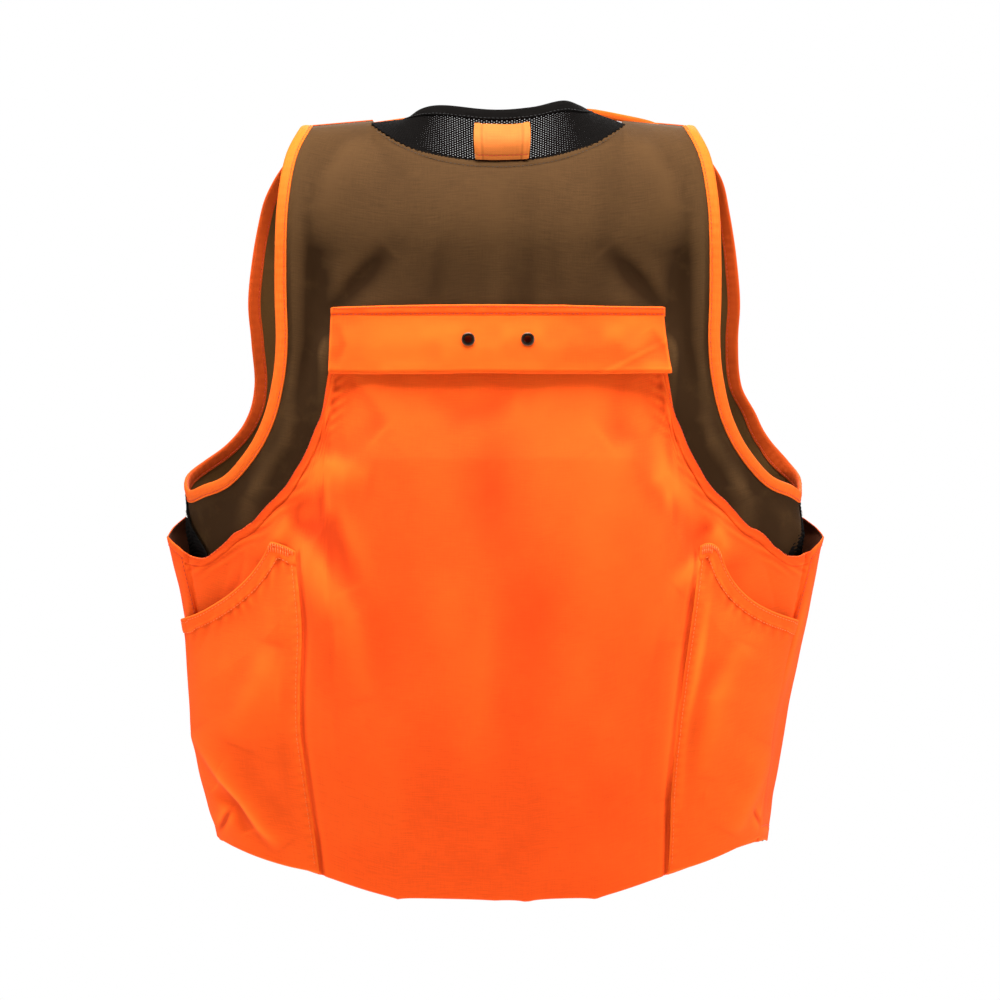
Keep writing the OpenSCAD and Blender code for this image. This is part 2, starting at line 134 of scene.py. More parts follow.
def inward(path, w):
    """Edge path moved towards the panel by w, in the x and z plane."""
    p = np.array(path, float)
    d = np.gradient(p, axis=0)
    d /= np.linalg.norm(d, axis=1)[:, None]
    return p + w * np.stack([-d[:, 1], d[:, 0]], 1)


body_half = curve_through([(-710, 236), (-650, 242), (-560, 252), (-470, 262), (-390, 271),
                           (-335, 277), (-200, 262), (0, 250)])
RIM_HALF = 295.0
outer_half = curve_through([(-700, 243), (-650, 247), (-617, 254), (-576, 262), (-522, 269),
                            (-468, 277), (-414, 287), (-373, RIM_HALF)])
ARMHOLE_BACK = [(275, -333), (262, -328), (244, -320), (224, -297), (210, -270), (201, -234),
                (198, -198), (199, -162), (199, -126), (197, -72), (190, -27), (178, 0)]
ARMHOLE_FRONT = [(276, -321), (262, -306), (246, -293), (234, -279), (227, -266), (218, -239),
                 (218, -198), (220, -162), (215, -117), (208, -77), (202, -54), (191, -27),
                 (178, 0)]
front_edge = curve_through([(-165, ZIP_EDGE), (-150, 22), (-125, 42), (-95, 66), (-60, 88),
                            (-30, 101), (0, NECK_W)])
hem_line = curve_through([(0, -703), (85, -698), (160, -676), (235, -650), (300, -640)])
bag_line = curve_through([(147, -190), (151, -229), (154, -247), (157, -265), (163, -279),
                          (170, -297), (180, -315), (191, -333), (206, -347), (222, -364),
                          (237, -373), (250, -384), (268, -394), (282, -390), (291, -381),
                          (295, -375)])
bag_edge = curve_through([(-400, 268), (-384, 250), (-364, 222), (-347, 206), (-333, 191),
                          (-315, 180), (-297, 170), (-279, 163), (-265, 157), (-247, 154),
                          (-229, 151), (-190, 147)])
MOUTHS = {-1: curve_through([(176, -391), (190, -383), (198, -380), (203, -391), (208, -400), (215, -410),
                             (229, -424), (244, -435), (264, -445.5), (290, -452)]),
          1: curve_through([(174, -388), (187, -381), (192, -384), (199, -403), (206, -416), (219, -430),
                            (231, -438), (247, -445), (271, -451), (290, -453)])}
pocket_seam = curve_through([(-676, 156), (-633, 160), (-578, 166), (-545, 170), (-469, 174),
                             (-380, 180)])
lower_line = curve_through([(0, -330), (200, -332), (240, -342), (272, -351), (290, -366),
                            (295, -375)])


def section(turn, a, b):
    """The body's section. turn is 0 at the back's middle, 90 at the side and 180 in front, and
    is negative on the left."""
    angle = np.radians(np.abs(turn))
    s, c = np.sin(angle), np.cos(angle)
    p = 2 / SQUARENESS
    return np.sign(turn) * a * np.abs(s) ** p, -np.sign(c) * b * np.abs(c) ** p


def turn_at(x, a):
    """Turn from the back's middle at which a section of half width a reaches x."""
    return np.degrees(np.arcsin(unit(np.abs(x) / a) ** (SQUARENESS / 2)))


def body_turn(x, z):
    """Turn at which the body surface reaches x."""
    return np.sign(x) * turn_at(x, body_half(z))


def body_turn_at(x, z, o):
    """Turn at which the body surface, raised by o, reaches x."""
    return np.sign(x) * turn_at(x, body_half(z) + o)


def on_body(turn, z, o):
    """A point of the body surface, raised by o."""
    turn, z, o = np.broadcast_arrays(turn, z, o)
    t = unit((z - KNEE_Z) / ARCH_H)
    x, y = section(turn, body_half(z) + o, BODY_D + o)
    return np.stack([x, y * np.sqrt(1 - t * t),
                     z + o * t - 0.09 * t * np.maximum(0, np.abs(x) - 100)], -1)


def soft_top(ax):
    """Height of the bag's rim, evened out so that its cloth swells smoothly beside the steep part."""
    return sum(bag_line(ax + shift) for shift in (-24, -16, -8, 0, 8, 16, 24)) / 7


def on_outer(turn, z, o):
    """A point of the orange outer layer: the bag behind, the lower front before the side line."""
    turn, z, o = np.broadcast_arrays(turn, z, o)
    back = np.abs(turn) < 90
    x, _ = section(turn, outer_half(z) - BAG_T + o, 1)
    ax = np.abs(x)
    top = np.where(back, bag_line(ax), lower_line(ax))
    hem = np.where(back, hem_line(ax), FRONT_HEM)
    least = np.where(back, BAG_GAP, FRONT_GAP)
    stand = np.where(back, BAG_BULGE, 8)
    free_from = np.where(back, 235, 215)
    top = np.where(back & (ax < 250), soft_top(ax), top)
    puff = stand * np.sin(np.pi / 2 * unit((top - z - 30) / 230)) * np.sin(
        np.pi / 2 * unit((z - hem) / 160))
    free = np.maximum(unit((ax - free_from) / 50), unit((top - z - 15) / 100))
    near = BODY_D + least + o
    y_body = near * unit(1 - unit(ax / (body_half(z) + least + o)) ** SQUARENESS) ** (1 / SQUARENESS)
    _, y_free = section(turn, 1, near + puff)
    return np.stack([x, np.where(back, -1, 1) * mix(y_body, np.abs(y_free), free), z], -1)


def neckline(x):
    """Edge of the back's neck, which sags a little below the CAD's."""
    return -(NECK_DROP + 4) * unit(1 - unit(np.abs(x) / NECK_W) ** 2.2) ** 0.8


hang_left = curve_through([(-703, -2), (-643, -2.5), (-562, -4), (-508, -2), (-454, 2), (-400, 0),
                           (-360, 0)])
hang_right = curve_through([(-703, -4), (-643, -7), (-600, -11), (-548, -12.5), (-508, -10),
                            (-454, -5), (-400, -1), (-360, 0)])
spread_left = curve_through([(-420, -2), (-373, -4.5), (-346, -1.5), (-319, -4.2), (-292, -2.4),
                             (-265, -1.2), (-238, -4), (-200, -6.5), (-103, -8), (-76, -8),
                             (-50, -5), (-30, -1), (0, 0)])
spread_right = curve_through([(-373, 0), (-346, -7), (-319, -4.5), (-292, 6), (-265, 9), (-238, 4),
                              (-180, 0), (-103, 2), (-76, 3), (-50, 5), (-25, 1), (0, 0)])


def sway(p):
    """The vest doesn't hang quite straight: its back swings a little to the left below the
    arms, and its front armholes stand out further than the back's."""
    x, y, z = p[..., 0], p[..., 1], p[..., 2]
    across = unit((x + 250) / 500)
    hang = mix(hang_left(z), hang_right(z), across) * ease((40 - y) / 60)
    spread = spread_left(z) * ease((-x - 120) / 80) + spread_right(z) * ease((x - 120) / 80)
    out = p.copy()
    out[..., 0] += hang + spread * ease((y + 60) / 60)
    # the middle of the hem is drawn up a little
    out[..., 2] += 4.5 * bell(x / 105, 1) * ease((-610 - z) / 80) * ease((20 - y) / 60)
    return out


# ---- relief ----

def noise(x, y, cell, seed):
    """Smooth noise from -1 to 1, with features cell millimetres apart."""
    table = np.random.default_rng(seed).uniform(-1, 1, (64, 64))
    gx, gy = x / cell + 31.3, y / cell + 17.7
    i, j = np.floor(gx).astype(int), np.floor(gy).astype(int)
    fx, fy = gx - i, gy - j
    fx, fy = (f ** 3 * (f * (6 * f - 15) + 10) for f in (fx, fy))
    low = mix(table[i % 64, j % 64], table[(i + 1) % 64, j % 64], fx)
    high = mix(table[i % 64, (j + 1) % 64], table[(i + 1) % 64, (j + 1) % 64], fx)
    return mix(low, high, fy)


def to_path(x, z, path):
    """Signed distance to a polyline, and the share of its length at the nearest point."""
    path = np.array(path, float)
    legs = np.linalg.norm(np.diff(path, axis=0), axis=1)
    run = np.concatenate([[0], np.cumsum(legs)]) / legs.sum()
    best = np.full(x.shape, 1e9)
    signed, share = np.zeros(x.shape), np.zeros(x.shape)
    for a, b, leg, r0, r1 in zip(path, path[1:], legs, run, run[1:]):
        d = (b - a) / leg
        t = np.clip((x - a[0]) * d[0] + (z - a[1]) * d[1], 0, leg)
        gap = np.hypot(x - a[0] - t * d[0], z - a[1] - t * d[1])
        side = np.sign((x - a[0]) * d[1] - (z - a[1]) * d[0])
        closer = gap < best
        best = np.where(closer, gap, best)
        signed = np.where(closer, gap * side, signed)
        share = np.where(closer, mix(r0, r1, t / leg), share)
    return signed, share


def fold(x, z, path, width, height, lean=0.0):
    """Soft crease along a path, fading at its ends. lean steepens one side."""
    d, share = to_path(x, z, path)
    width = width * (1 + lean * np.tanh(d / width))
    return height * bell(d, width) * np.sin(np.pi * unit(share * 0.96 + 0.02)) ** 0.7


def folds(x, z, rows):
    """Sum of soft creases, each given as its path, width, height and lean."""
    return sum(fold(x, z, *row) for row in rows)


def seam(d, along, depth=0.5, reach=5, seed=3):
    """Groove of a stitched seam, with the cloth gathering beside it."""
    pull = np.sin(2 * np.pi * along / 9 + 2.2 * noise(along, along * 0, 34, seed))
    return -depth * bell(d, 1.3) + 0.1 * pull * bell(np.abs(d) - 3, reach)


# ---- mesh building ----

def run_along(points):
    """Distance along a polyline at each of its points."""
    return np.concatenate([[0], np.cumsum(np.linalg.norm(np.diff(points, axis=0), axis=1))])


def applied(o):
    """The piece with its modifiers made part of its mesh."""
    bpy.context.view_layer.update()
    o.data = bpy.data.meshes.new_from_object(o.evaluated_get(bpy.context.evaluated_depsgraph_get()))
    o.modifiers.clear()


def normals_of(grid, outward=True):
    """Unit normals of a grid of points, turned away from the body's axis."""
    n = np.cross(np.gradient(grid, axis=1), np.gradient(grid, axis=0))
    n /= np.linalg.norm(n, axis=2, keepdims=True) + 1e-12
    away = (n[..., :2] * grid[..., :2]).sum()
    return n if (away > 0) == outward else -n


def make_object(name, verts, faces, coords, materials, smooth=True, painted_light=None):
    """A mesh object from points in millimetres, faces (n, 3 or 4) and thread coordinates. The values
    it may be given for each point are painted light: a highlight on ridges and edges where positive, shade
    in creases where negative."""
    mesh = bpy.data.meshes.new(name)
    faces = [np.asarray(f, np.int32) for f in (faces if isinstance(faces, list) else [faces])]
    loops = np.concatenate([f.ravel() for f in faces])
    sizes = np.concatenate([np.full(len(f), f.shape[1], np.int32) for f in faces])
    mesh.vertices.add(len(verts))
    placed = sway(np.asarray(verts, float)) * MM
    mesh.vertices.foreach_set("co", placed.astype(np.float32).ravel())
    mesh.loops.add(len(loops))
    mesh.loops.foreach_set("vertex_index", loops)
    mesh.polygons.add(len(sizes))
    mesh.polygons.foreach_set("loop_start", np.concatenate([[0], np.cumsum(sizes)[:-1]]).astype(np.int32))
    mesh.update(calc_edges=True)
    mesh.validate()
    mesh.polygons.foreach_set("use_smooth", np.full(len(mesh.polygons), smooth))
    attribute = mesh.attributes.new("cloth", "FLOAT_VECTOR", "POINT")
    attribute.data.foreach_set("vector", np.asarray(coords, np.float32).ravel())
    if painted_light is not None:
        attribute = mesh.attributes.new("painted_light", "FLOAT", "POINT")
        attribute.data.foreach_set("value", np.asarray(painted_light, np.float32).ravel())
    for material in materials if isinstance(materials, (list, tuple)) else [materials]:
        mesh.materials.append(material)
    o = bpy.data.objects.new(name, mesh)
    bpy.context.scene.collection.objects.link(o)
    return o


def grid_faces(rows, cols):
    r, c = np.meshgrid(np.arange(rows - 1), np.arange(cols - 1), indexing="ij")
    a = (r * cols + c).ravel()
    return np.stack([a, a + 1, a + cols + 1, a + cols], 1)


def thread_coords(grid):
    """Distances along the rows from the middle column, and along the columns from the bottom."""
    across = np.linalg.norm(np.diff(grid, axis=1), axis=2)
    across = np.concatenate([np.zeros((len(grid), 1)), np.cumsum(across, 1)], 1)
    across -= across[:, [grid.shape[1] // 2]]
    up = np.linalg.norm(np.diff(grid, axis=0), axis=2)
    up = np.concatenate([np.zeros((1, grid.shape[1])), np.cumsum(up, 0)], 0)
    return across * MM, up * MM


def ridges(relief):
    """How far each point stands above the cloth round it, over a short and a longer reach."""
    total = np.zeros(relief.shape)
    for reach, weight in ((2, 1.1), (7, 0.32)):
        wide = np.pad(relief, reach, mode="edge")
        rows, cols = relief.shape
        mean = sum(wide[reach + i * reach: reach + i * reach + rows,
                        reach + j * reach: reach + j * reach + cols]
                   for i, j in ((-1, 0), (1, 0), (0, -1), (0, 1))) / 4
        total += weight * (relief - mean)
    return np.clip(total, -1, 1)


def cloth(name, face, thickness, material, relief=0.0, outward=True, roll=0.45, tone=0.0, wear_and_edge_highlight=0.55):
    """Closed piece of cloth. face is the grid of its outer face, relief moves that face along
    its normal, and the edges are rolled. tone adds painted light to its ridges, a highlight where positive
    and shade where negative; its edges get a painted highlight of the given strength."""
    n = normals_of(face, outward)
    relief = np.broadcast_to(np.asarray(relief, float), face.shape[:2])
    outer = face + relief[..., None] * n
    n = normals_of(outer, outward)
    depth = np.full(face.shape[:2], float(thickness))
    # painted light from the relief: a highlight where the cloth stands above its surroundings, shade where
    # it sinks, plus the piece's tone
    painted_light = ridges(relief) + tone
    inner = outer - depth[..., None] * n
    rows, cols = face.shape[:2]
    k = rows * cols
    ring = ([(0, c) for c in range(cols)] + [(r, cols - 1) for r in range(1, rows)]
            + [(rows - 1, c) for c in range(cols - 2, -1, -1)]
            + [(r, 0) for r in range(rows - 2, 0, -1)])
    rr, cc = np.array(ring).T
    ri, ci = np.clip(rr, 1, rows - 2), np.clip(cc, 1, cols - 2)
    out = outer[rr, cc] - outer[ri, ci]
    out /= np.linalg.norm(out, axis=1, keepdims=True) + 1e-12
    middle = (outer[rr, cc] + inner[rr, cc]) / 2 + roll * depth[rr, cc][:, None] * out
    u, v = thread_coords(outer)
    coords = np.concatenate([
        np.stack([u, v, np.zeros_like(u)], -1).reshape(-1, 3),
        np.stack([u, v, np.ones_like(u)], -1).reshape(-1, 3),
        np.stack([u[rr, cc], v[rr, cc], np.zeros(len(rr))], -1)])
    skin = grid_faces(rows, cols)
    edge = rr * cols + cc
    mid = 2 * k + np.arange(len(rr))
    nxt = np.roll(np.arange(len(rr)), -1)
    walls = np.concatenate([np.stack([edge, mid, mid[nxt], edge[nxt]], 1),
                            np.stack([mid, edge + k, edge[nxt] + k, mid[nxt]], 1)])
    faces = np.concatenate([skin, skin[:, ::-1] + k, walls])
    if (np.cross(outer[0, 1] - outer[0, 0], outer[1, 0] - outer[0, 0]) @ n[0, 0]) < 0:
        faces = faces[:, ::-1]
    verts = np.concatenate([outer.reshape(-1, 3), inner.reshape(-1, 3), middle])
    painted_light = np.array(np.broadcast_to(painted_light, (rows, cols)))
    # a painted highlight along the piece's edges
    painted_light[rr, cc] += wear_and_edge_highlight * 0.6
    shades = np.concatenate([painted_light.ravel(), np.zeros(k), np.full(len(rr), wear_and_edge_highlight)])
    o = make_object(name, verts, faces, coords, material, painted_light=shades)
    return o, outer, n


def tube(name, loops, material, closed=False, tone=None):
    """Closed skin through a row of closed loops, (loops, points, 3), capped unless it closes on
    itself. tone is the painted light of each point: a highlight where positive, shade where negative."""
    count, size = loops.shape[:2]
    along = run_along(loops.mean(1)) * MM
    round_it = np.linalg.norm(np.roll(loops[0], -1, 0) - loops[0], axis=1)
    girth = np.concatenate([[0], np.cumsum(round_it)[:-1]]) * MM
    coords = np.zeros((count, size, 3))
    coords[..., 0], coords[..., 1] = along[:, None], girth[None]
    i, j = np.meshgrid(np.arange(count if closed else count - 1), np.arange(size), indexing="ij")
    a, b = (i * size + j).ravel(), (i * size + (j + 1) % size).ravel()
    i2 = (i + 1) % count
    c, d = (i2 * size + (j + 1) % size).ravel(), (i2 * size + j).ravel()
    faces = [np.stack([a, b, c, d], 1)]
    verts = loops.reshape(-1, 3)
    if not closed:
        ends = np.stack([loops[0].mean(0), loops[-1].mean(0)])
        k, m = len(verts), np.arange(size)
        last = (count - 1) * size
        faces.append(np.stack([np.full(size, k), (m + 1) % size, m], 1))
        faces.append(np.stack([np.full(size, k + 1), last + m, last + (m + 1) % size], 1))
        verts = np.concatenate([verts, ends])
        coords = np.concatenate([coords.reshape(-1, 3), [coords[0, 0], coords[-1, 0]]])
    return make_object(name, verts, faces, coords.reshape(-1, 3), material, painted_light=tone)


def smooth_path(points, step, closed=False):
    """Catmull-Rom curve through points, sampled about every step."""
    p = np.array(points, float)
    if closed:
        p = np.concatenate([p[-1:], p, p[:2]])
    else:
        p = np.concatenate([[2 * p[0] - p[1]], p, [2 * p[-1] - p[-2]]])
    out = []
    for a, b, c, d in zip(p, p[1:], p[2:], p[3:]):
        count = max(2, int(round(np.linalg.norm(c - b) / step)))
        ab, bc, cd = (max(1e-6, np.linalg.norm(w)) ** 0.5 for w in (b - a, c - b, d - c))
        m1 = bc * ((b - a) / ab - (c - a) / (ab + bc) + (c - b) / bc)
        m2 = bc * ((c - b) / bc - (d - b) / (bc + cd) + (d - c) / cd)
        for t in np.linspace(0, 1, count, endpoint=False):
            out.append(b * (2 * t ** 3 - 3 * t * t + 1) + c * (3 * t * t - 2 * t ** 3)
                       + m1 * (t ** 3 - 2 * t * t + t) + m2 * (t ** 3 - t * t))
    if not closed:
        out.append(p[-2])
    return np.array(out)


def resample(points, step, *others):
    """A polyline and arrays that go with it, at even steps along its length."""
    points = np.asarray(points, float)
    run = run_along(points)
    at = np.linspace(0, run[-1], max(2, int(round(run[-1] / step)) + 1))
    picked = [np.stack([np.interp(at, run, np.asarray(a)[:, i]) for i in range(3)], 1)
              for a in (points, *others)]
    return picked if others else picked[0]


def stitches(name, rows, material, length=2.6, gap=1.2, radius=0.32):
    """Rows of sewn stitches. Each row is (points, normals) along the cloth's face."""
    sides = np.radians([0, 60, 120, 180, 240, 300])
    share = np.array([0, 0.12, 0.5, 0.88, 1.0])
    girth = np.array([0.25, 0.8, 1.0, 0.8, 0.25])
    lift = np.array([-0.25, 0.1, 0.35, 0.1, -0.25])
    verts, faces, coords = [], [], []
    base = 0
    for points, normals in rows:
        p, n = resample(points, (length + gap) / 2, normals)
        for i in range(0, len(p) - 1, 2):
            a, d = p[i], p[i + 1] - p[i]
            reach = np.linalg.norm(d)
            if reach < 1e-6:
                continue
            d = d / reach * length
            up = n[i] / (np.linalg.norm(n[i]) + 1e-9)
            across = np.cross(up, d / length)
            spine = a + share[:, None] * d + (lift * radius * 2)[:, None] * up
            around = (np.cos(sides)[:, None] * across + np.sin(sides)[:, None] * up) * radius
            v = spine[:, None] + girth[:, None, None] * around[None]
            verts.append(v.reshape(-1, 3))
            m, k = len(share), len(sides)
            r, c = np.meshgrid(np.arange(m - 1), np.arange(k), indexing="ij")
            q = np.stack([r * k + c, r * k + (c + 1) % k, (r + 1) * k + (c + 1) % k,
                          (r + 1) * k + c], -1).reshape(-1, 4)
            faces.append(q + base)
            cap = np.array([[0, 1, 2, 3], [3, 4, 5, 0]])
            faces.append(cap[:, ::-1] + base)
            faces.append(cap + base + (m - 1) * k)
            coords.append(np.concatenate([v.reshape(-1, 3)[:, :2] * MM, np.zeros((m * k, 1))], 1))
            base += m * k
    return make_object(name, np.concatenate(verts), np.concatenate(faces), np.concatenate(coords),
                       material)


def on_grid(outer, normals, rows_at, cols_at, lift=0.1):
    """Points and normals on a cloth's face at fractional rows and columns."""
    rows_at, cols_at = np.broadcast_arrays(np.asarray(rows_at, float), np.asarray(cols_at, float))
    r = np.clip(rows_at, 0, outer.shape[0] - 1.001)
    c = np.clip(cols_at, 0, outer.shape[1] - 1.001)
    i, j = r.astype(int), c.astype(int)
    fr, fc = (r - i)[:, None], (c - j)[:, None]

    def pick(g):
        return mix(mix(g[i, j], g[i, j + 1], fc), mix(g[i + 1, j], g[i + 1, j + 1], fc), fr)
    n = pick(normals)
    return pick(outer) + lift * n, n


def nearest_on(outer, x, z):
    """Row and column of a cloth's face nearest to x and z."""
    gap = (outer[..., 0] - x) ** 2 + (outer[..., 2] - z) ** 2
    return np.unravel_index(np.argmin(gap), gap.shape)


def level_line(outer, normals, value, lift=0.1, columns=None):
    """The line on a cloth's face where value, given at every grid point, passes zero going up
    the rows, one point for each column."""
    cols = np.arange(outer.shape[1]) if columns is None else columns
    rows_at = []
    for c in cols:
        v = value[:, c]
        hits = np.nonzero((v[:-1] <= 0) != (v[1:] <= 0))[0]
        rows_at.append(hits[0] + v[hits[0]] / (v[hits[0]] - v[hits[0] + 1]) if len(hits) else np.nan)
    rows_at = np.array(rows_at)
    good = ~np.isnan(rows_at)
    return on_grid(outer, normals, rows_at[good], np.asarray(cols)[good], lift)


def cut_holes(o, centres, radius, axis_y):
    """Round holes through a piece, along Y."""
    for x, z in centres:
        bpy.ops.mesh.primitive_cylinder_add(
            vertices=48, radius=radius * MM, depth=0.08,
            location=(x * MM, axis_y * MM, z * MM), rotation=(math.pi / 2, 0, 0))
        tool = bpy.context.object
        m = o.modifiers.new("hole", "BOOLEAN")
        m.object, m.solver = tool, "EXACT"
        applied(o)
        bpy.data.objects.remove(tool)


# ---- materials ----

THREAD_RELIEF = 0.00022
METAL_RELIEF = 0.0001


def srgb(r, g, b):
    return tuple((c / 12.92 if c <= 0.04045 else ((c + 0.055) / 1.055) ** 2.4)
                 for c in (r / 255, g / 255, b / 255)) + (1.0,)


def shade(colour, scale):
    """A colour scaled by a number, or by one number for each channel."""
    scale = scale if isinstance(scale, tuple) else (scale,) * 3
    return tuple(min(1.0, c * k) for c, k in zip(colour, scale)) + (1.0,)


class Nodes:
    """Short calls for building a material's nodes."""

    def __init__(self, name):
        self.material = bpy.data.materials.new(name)
        self.material.use_nodes = True
        self.tree = self.material.node_tree
        self.shader = self.tree.nodes["Principled BSDF"]

    def add(self, kind, **settings):
        node = self.tree.nodes.new(kind)
        for key, value in settings.items():
            setattr(node, key, value)
        return node

    def plug(self, socket, value):
        """The socket gets a number, a colour or another node's output."""
        if isinstance(value, (int, float, tuple)):
            socket.default_value = value
        else:
            self.tree.links.new(value, socket)

    def feed(self, node, **values):
        for key, value in values.items():
            self.plug(node.inputs[key.replace("_", " ")], value)

    def set(self, **values):
        self.feed(self.shader, **values)

    def place(self):
        return self.add("ShaderNodeTexCoord").outputs["Object"]

    def math(self, operation, *values):
        node = self.add("ShaderNodeMath", operation=operation)
        for socket, value in zip(node.inputs, values):
            self.plug(socket, value)
        return node.outputs[0]

    def above(self, value):
        """The value where it is positive."""
        return self.math("MAXIMUM", value, 0.0)

    def limited(self, value):
        """The value kept from 0 to 1."""
        return self.math("MINIMUM", self.above(value), 1.0)

    def noise(self, vector, scale, detail=2.0, roughness=0.5):
        node = self.add("ShaderNodeTexNoise")
        self.feed(node, Scale=scale, Detail=detail, Roughness=roughness, Vector=vector)
        return node.outputs["Fac"]

    def mix(self, factor, a, b):
        node = self.add("ShaderNodeMix", data_type="RGBA")
        for index, value in ((0, factor), (6, a), (7, b)):
            self.plug(node.inputs[index], value)
        return node.outputs[2]

    def scaled(self, vector, x, y, z=1.0):
        node = self.add("ShaderNodeVectorMath", operation="MULTIPLY")
        self.plug(node.inputs[1], (x, y, z))
        self.plug(node.inputs[0], vector)
        return node.outputs[0]

    def relief(self, height, strength, distance):
        """Shading relief of the given height in metres."""
        node = self.add("ShaderNodeBump")
        self.feed(node, Strength=strength, Distance=distance, Height=height)
        self.set(Normal=node.outputs["Normal"])


def fabric(name, colour, lining=None, pitch=0.85, twill=False, tint=0.10, rough=0.86, sheen=0.03,
           bump=0.35, worn=None, specular=0.07, painted_ridge_highlight=(1.3, 1.3, 1.3), mottle_and_painted_shade=(0.66, 0.62, 0.56)):
    """Woven cloth. pitch is the thread spacing in millimetres and tint the strength of its
    streaks. The lining side may have its own colour. Its last two settings scale its colour for a
    painted highlight on ridges, and for random darker patches and painted shade in creases."""
    m = Nodes(name)
    threads = m.add("ShaderNodeAttribute", attribute_name="cloth").outputs["Vector"]
    painted_light = m.add("ShaderNodeAttribute", attribute_name="painted_light").outputs["Fac"]
    place = m.place()
    parts = m.add("ShaderNodeSeparateXYZ")
    m.plug(parts.inputs[0], threads)
    turn = 2 * math.pi / (pitch * MM)
    warp = m.math("SINE", m.math("MULTIPLY", parts.outputs["X"], turn))
    weft = m.math("SINE", m.math("MULTIPLY", parts.outputs["Y"], turn))
    if twill:
        slope = m.math("ADD", parts.outputs["X"], parts.outputs["Y"])
        cross = m.math("SINE", m.math("MULTIPLY", slope, turn * 0.8))
        weave = m.math("ADD", m.math("MULTIPLY", cross, 0.7), m.math("MULTIPLY", warp, 0.3))
    else:
        weave = m.math("MULTIPLY", warp, weft)
    slub_across = m.noise(m.scaled(threads, 60, 1100), 1.0, 1.0)
    slub_up = m.noise(m.scaled(threads, 1100, 60), 1.0, 1.0)
    fuzz = m.noise(place, 900.0, 2.0)
    across = m.math("MULTIPLY", slub_across, 1.35)
    slubs = m.math("MULTIPLY_ADD", slub_up, 0.65, across)
    streak = m.math("ADD", slubs, m.math("MULTIPLY", fuzz, 0.6))
    dark, mottle_and_shade_colour = shade(colour, 1 - tint * 1.6), shade(colour, mottle_and_painted_shade)
    base = m.mix(m.math("MULTIPLY_ADD", streak, 1.15, -0.97), dark, shade(colour, 1 + tint * 1.6))
    broad = m.noise(place, 7.0, 3.0)
    cloudy = m.math("MULTIPLY", m.math("SUBTRACT", broad, 0.34), 0.5)
    base = m.mix(m.above(cloudy), base, mottle_and_shade_colour)
    # painted highlight on ridges and edges, and painted shade in creases
    base = m.mix(m.limited(painted_light), base, shade(colour, painted_ridge_highlight))
    base = m.mix(m.limited(m.math("MULTIPLY", painted_light, -1.0)), base, shade(mottle_and_shade_colour, 0.72))
    groove = m.math("MULTIPLY", m.math("SUBTRACT", 0.0, weave), 0.16)
    base = m.mix(m.above(groove), base, dark)
    if worn is not None:
        wear_and_edge_highlight = m.math("MULTIPLY", m.math("SUBTRACT", m.noise(place, 38.0, 4.0, 0.7), 0.55), 1.2)
        base = m.mix(m.above(wear_and_edge_highlight), base, worn)
    if lining is not None:
        inside = m.math("GREATER_THAN", parts.outputs["Z"], 0.5)
        base = m.mix(inside, base, m.mix(fuzz, lining, shade(lining, 0.7)))
    height = m.math("ADD", m.math("MULTIPLY", weave, 0.5), m.math("MULTIPLY", streak, 0.35))
    m.relief(height, bump, THREAD_RELIEF)
    m.set(Base_Color=base, Roughness=m.math("MULTIPLY_ADD", fuzz, 0.16, rough - 0.08),
          Sheen_Weight=sheen, Sheen_Roughness=0.5, Specular_IOR_Level=specular,
          Sheen_Tint=tuple(mix(0.6, c, 0.5) for c in colour[:3]) + (1.0,))
    return m.material


def thread(name, colour):
    m = Nodes(name)
    twist = m.noise(m.place(), 2600.0, 1.0)
    m.set(Base_Color=m.mix(twist, shade(colour, 0.78), colour), Sheen_Weight=0.1,
          Roughness=m.math("MULTIPLY_ADD", twist, 0.2, 0.45), Specular_IOR_Level=0.35)
    return m.material


def metal(name, colour, rough=0.36):
    """Antiqued metal: dark in the recesses and rubbed where it is handled."""
    m = Nodes(name)
    place = m.place()
    patina = m.noise(place, 420.0, 5.0, 0.65)
    sharp = m.math("MULTIPLY", m.math("SUBTRACT", patina, 0.48), 3.0)
    m.relief(m.noise(place, 3200.0, 2.0), 0.12, METAL_RELIEF)
    m.set(Base_Color=m.mix(m.limited(sharp), colour, shade(colour, 2.1)), Metallic=1.0,
          Roughness=m.math("MULTIPLY_ADD", patina, 0.3, rough - 0.15))
    return m.material


def moulded(name, colour):
    """Moulded zip plastic, with slight flow marks."""
    m = Nodes(name)
    flow = m.noise(m.place(), 300.0, 3.0)
    m.set(Base_Color=m.mix(flow, colour, shade(colour, 0.82)), Specular_IOR_Level=0.45,
          Roughness=m.math("MULTIPLY_ADD", flow, 0.2, 0.3))
    return m.material


def plain_pale(name):
    """Pale paper with painted light: it glows, faintly in the middle and fully towards its rim."""
    m = Nodes(name)
    place = m.place()
    reach = m.add("ShaderNodeVectorMath", operation="LENGTH")
    m.plug(reach.inputs[0], m.scaled(place, 1, 1, 0))
    rim = m.add("ShaderNodeMapRange", interpolation_type="SMOOTHSTEP")
    m.feed(rim, Value=reach.outputs["Value"], From_Min=0.5, From_Max=2.0, To_Min=0.12, To_Max=1.0)
    m.set(Base_Color=m.mix(m.noise(place, 3.0), (0.70, 0.70, 0.70, 1), (0.74, 0.74, 0.74, 1)),
          Roughness=0.9, Specular_IOR_Level=0.0, Emission_Color=(1, 1, 1, 1),
          Emission_Strength=rim.outputs["Result"])
    return m.material


BROWN = srgb(78, 54, 30)
LINING = srgb(100, 68, 34)
MAROON = srgb(84, 44, 24)
BAG_ORANGE = srgb(249, 82, 22)
# the bag's orange a touch paler: painted light for the pockets, the flaps and the flap band
PAINTED_LIT_ORANGE = srgb(250, 86, 22)
BINDING_ORANGE = srgb(250, 104, 28)
LOOP_ORANGE = srgb(205, 112, 48)
BLACK = srgb(15, 13, 12)
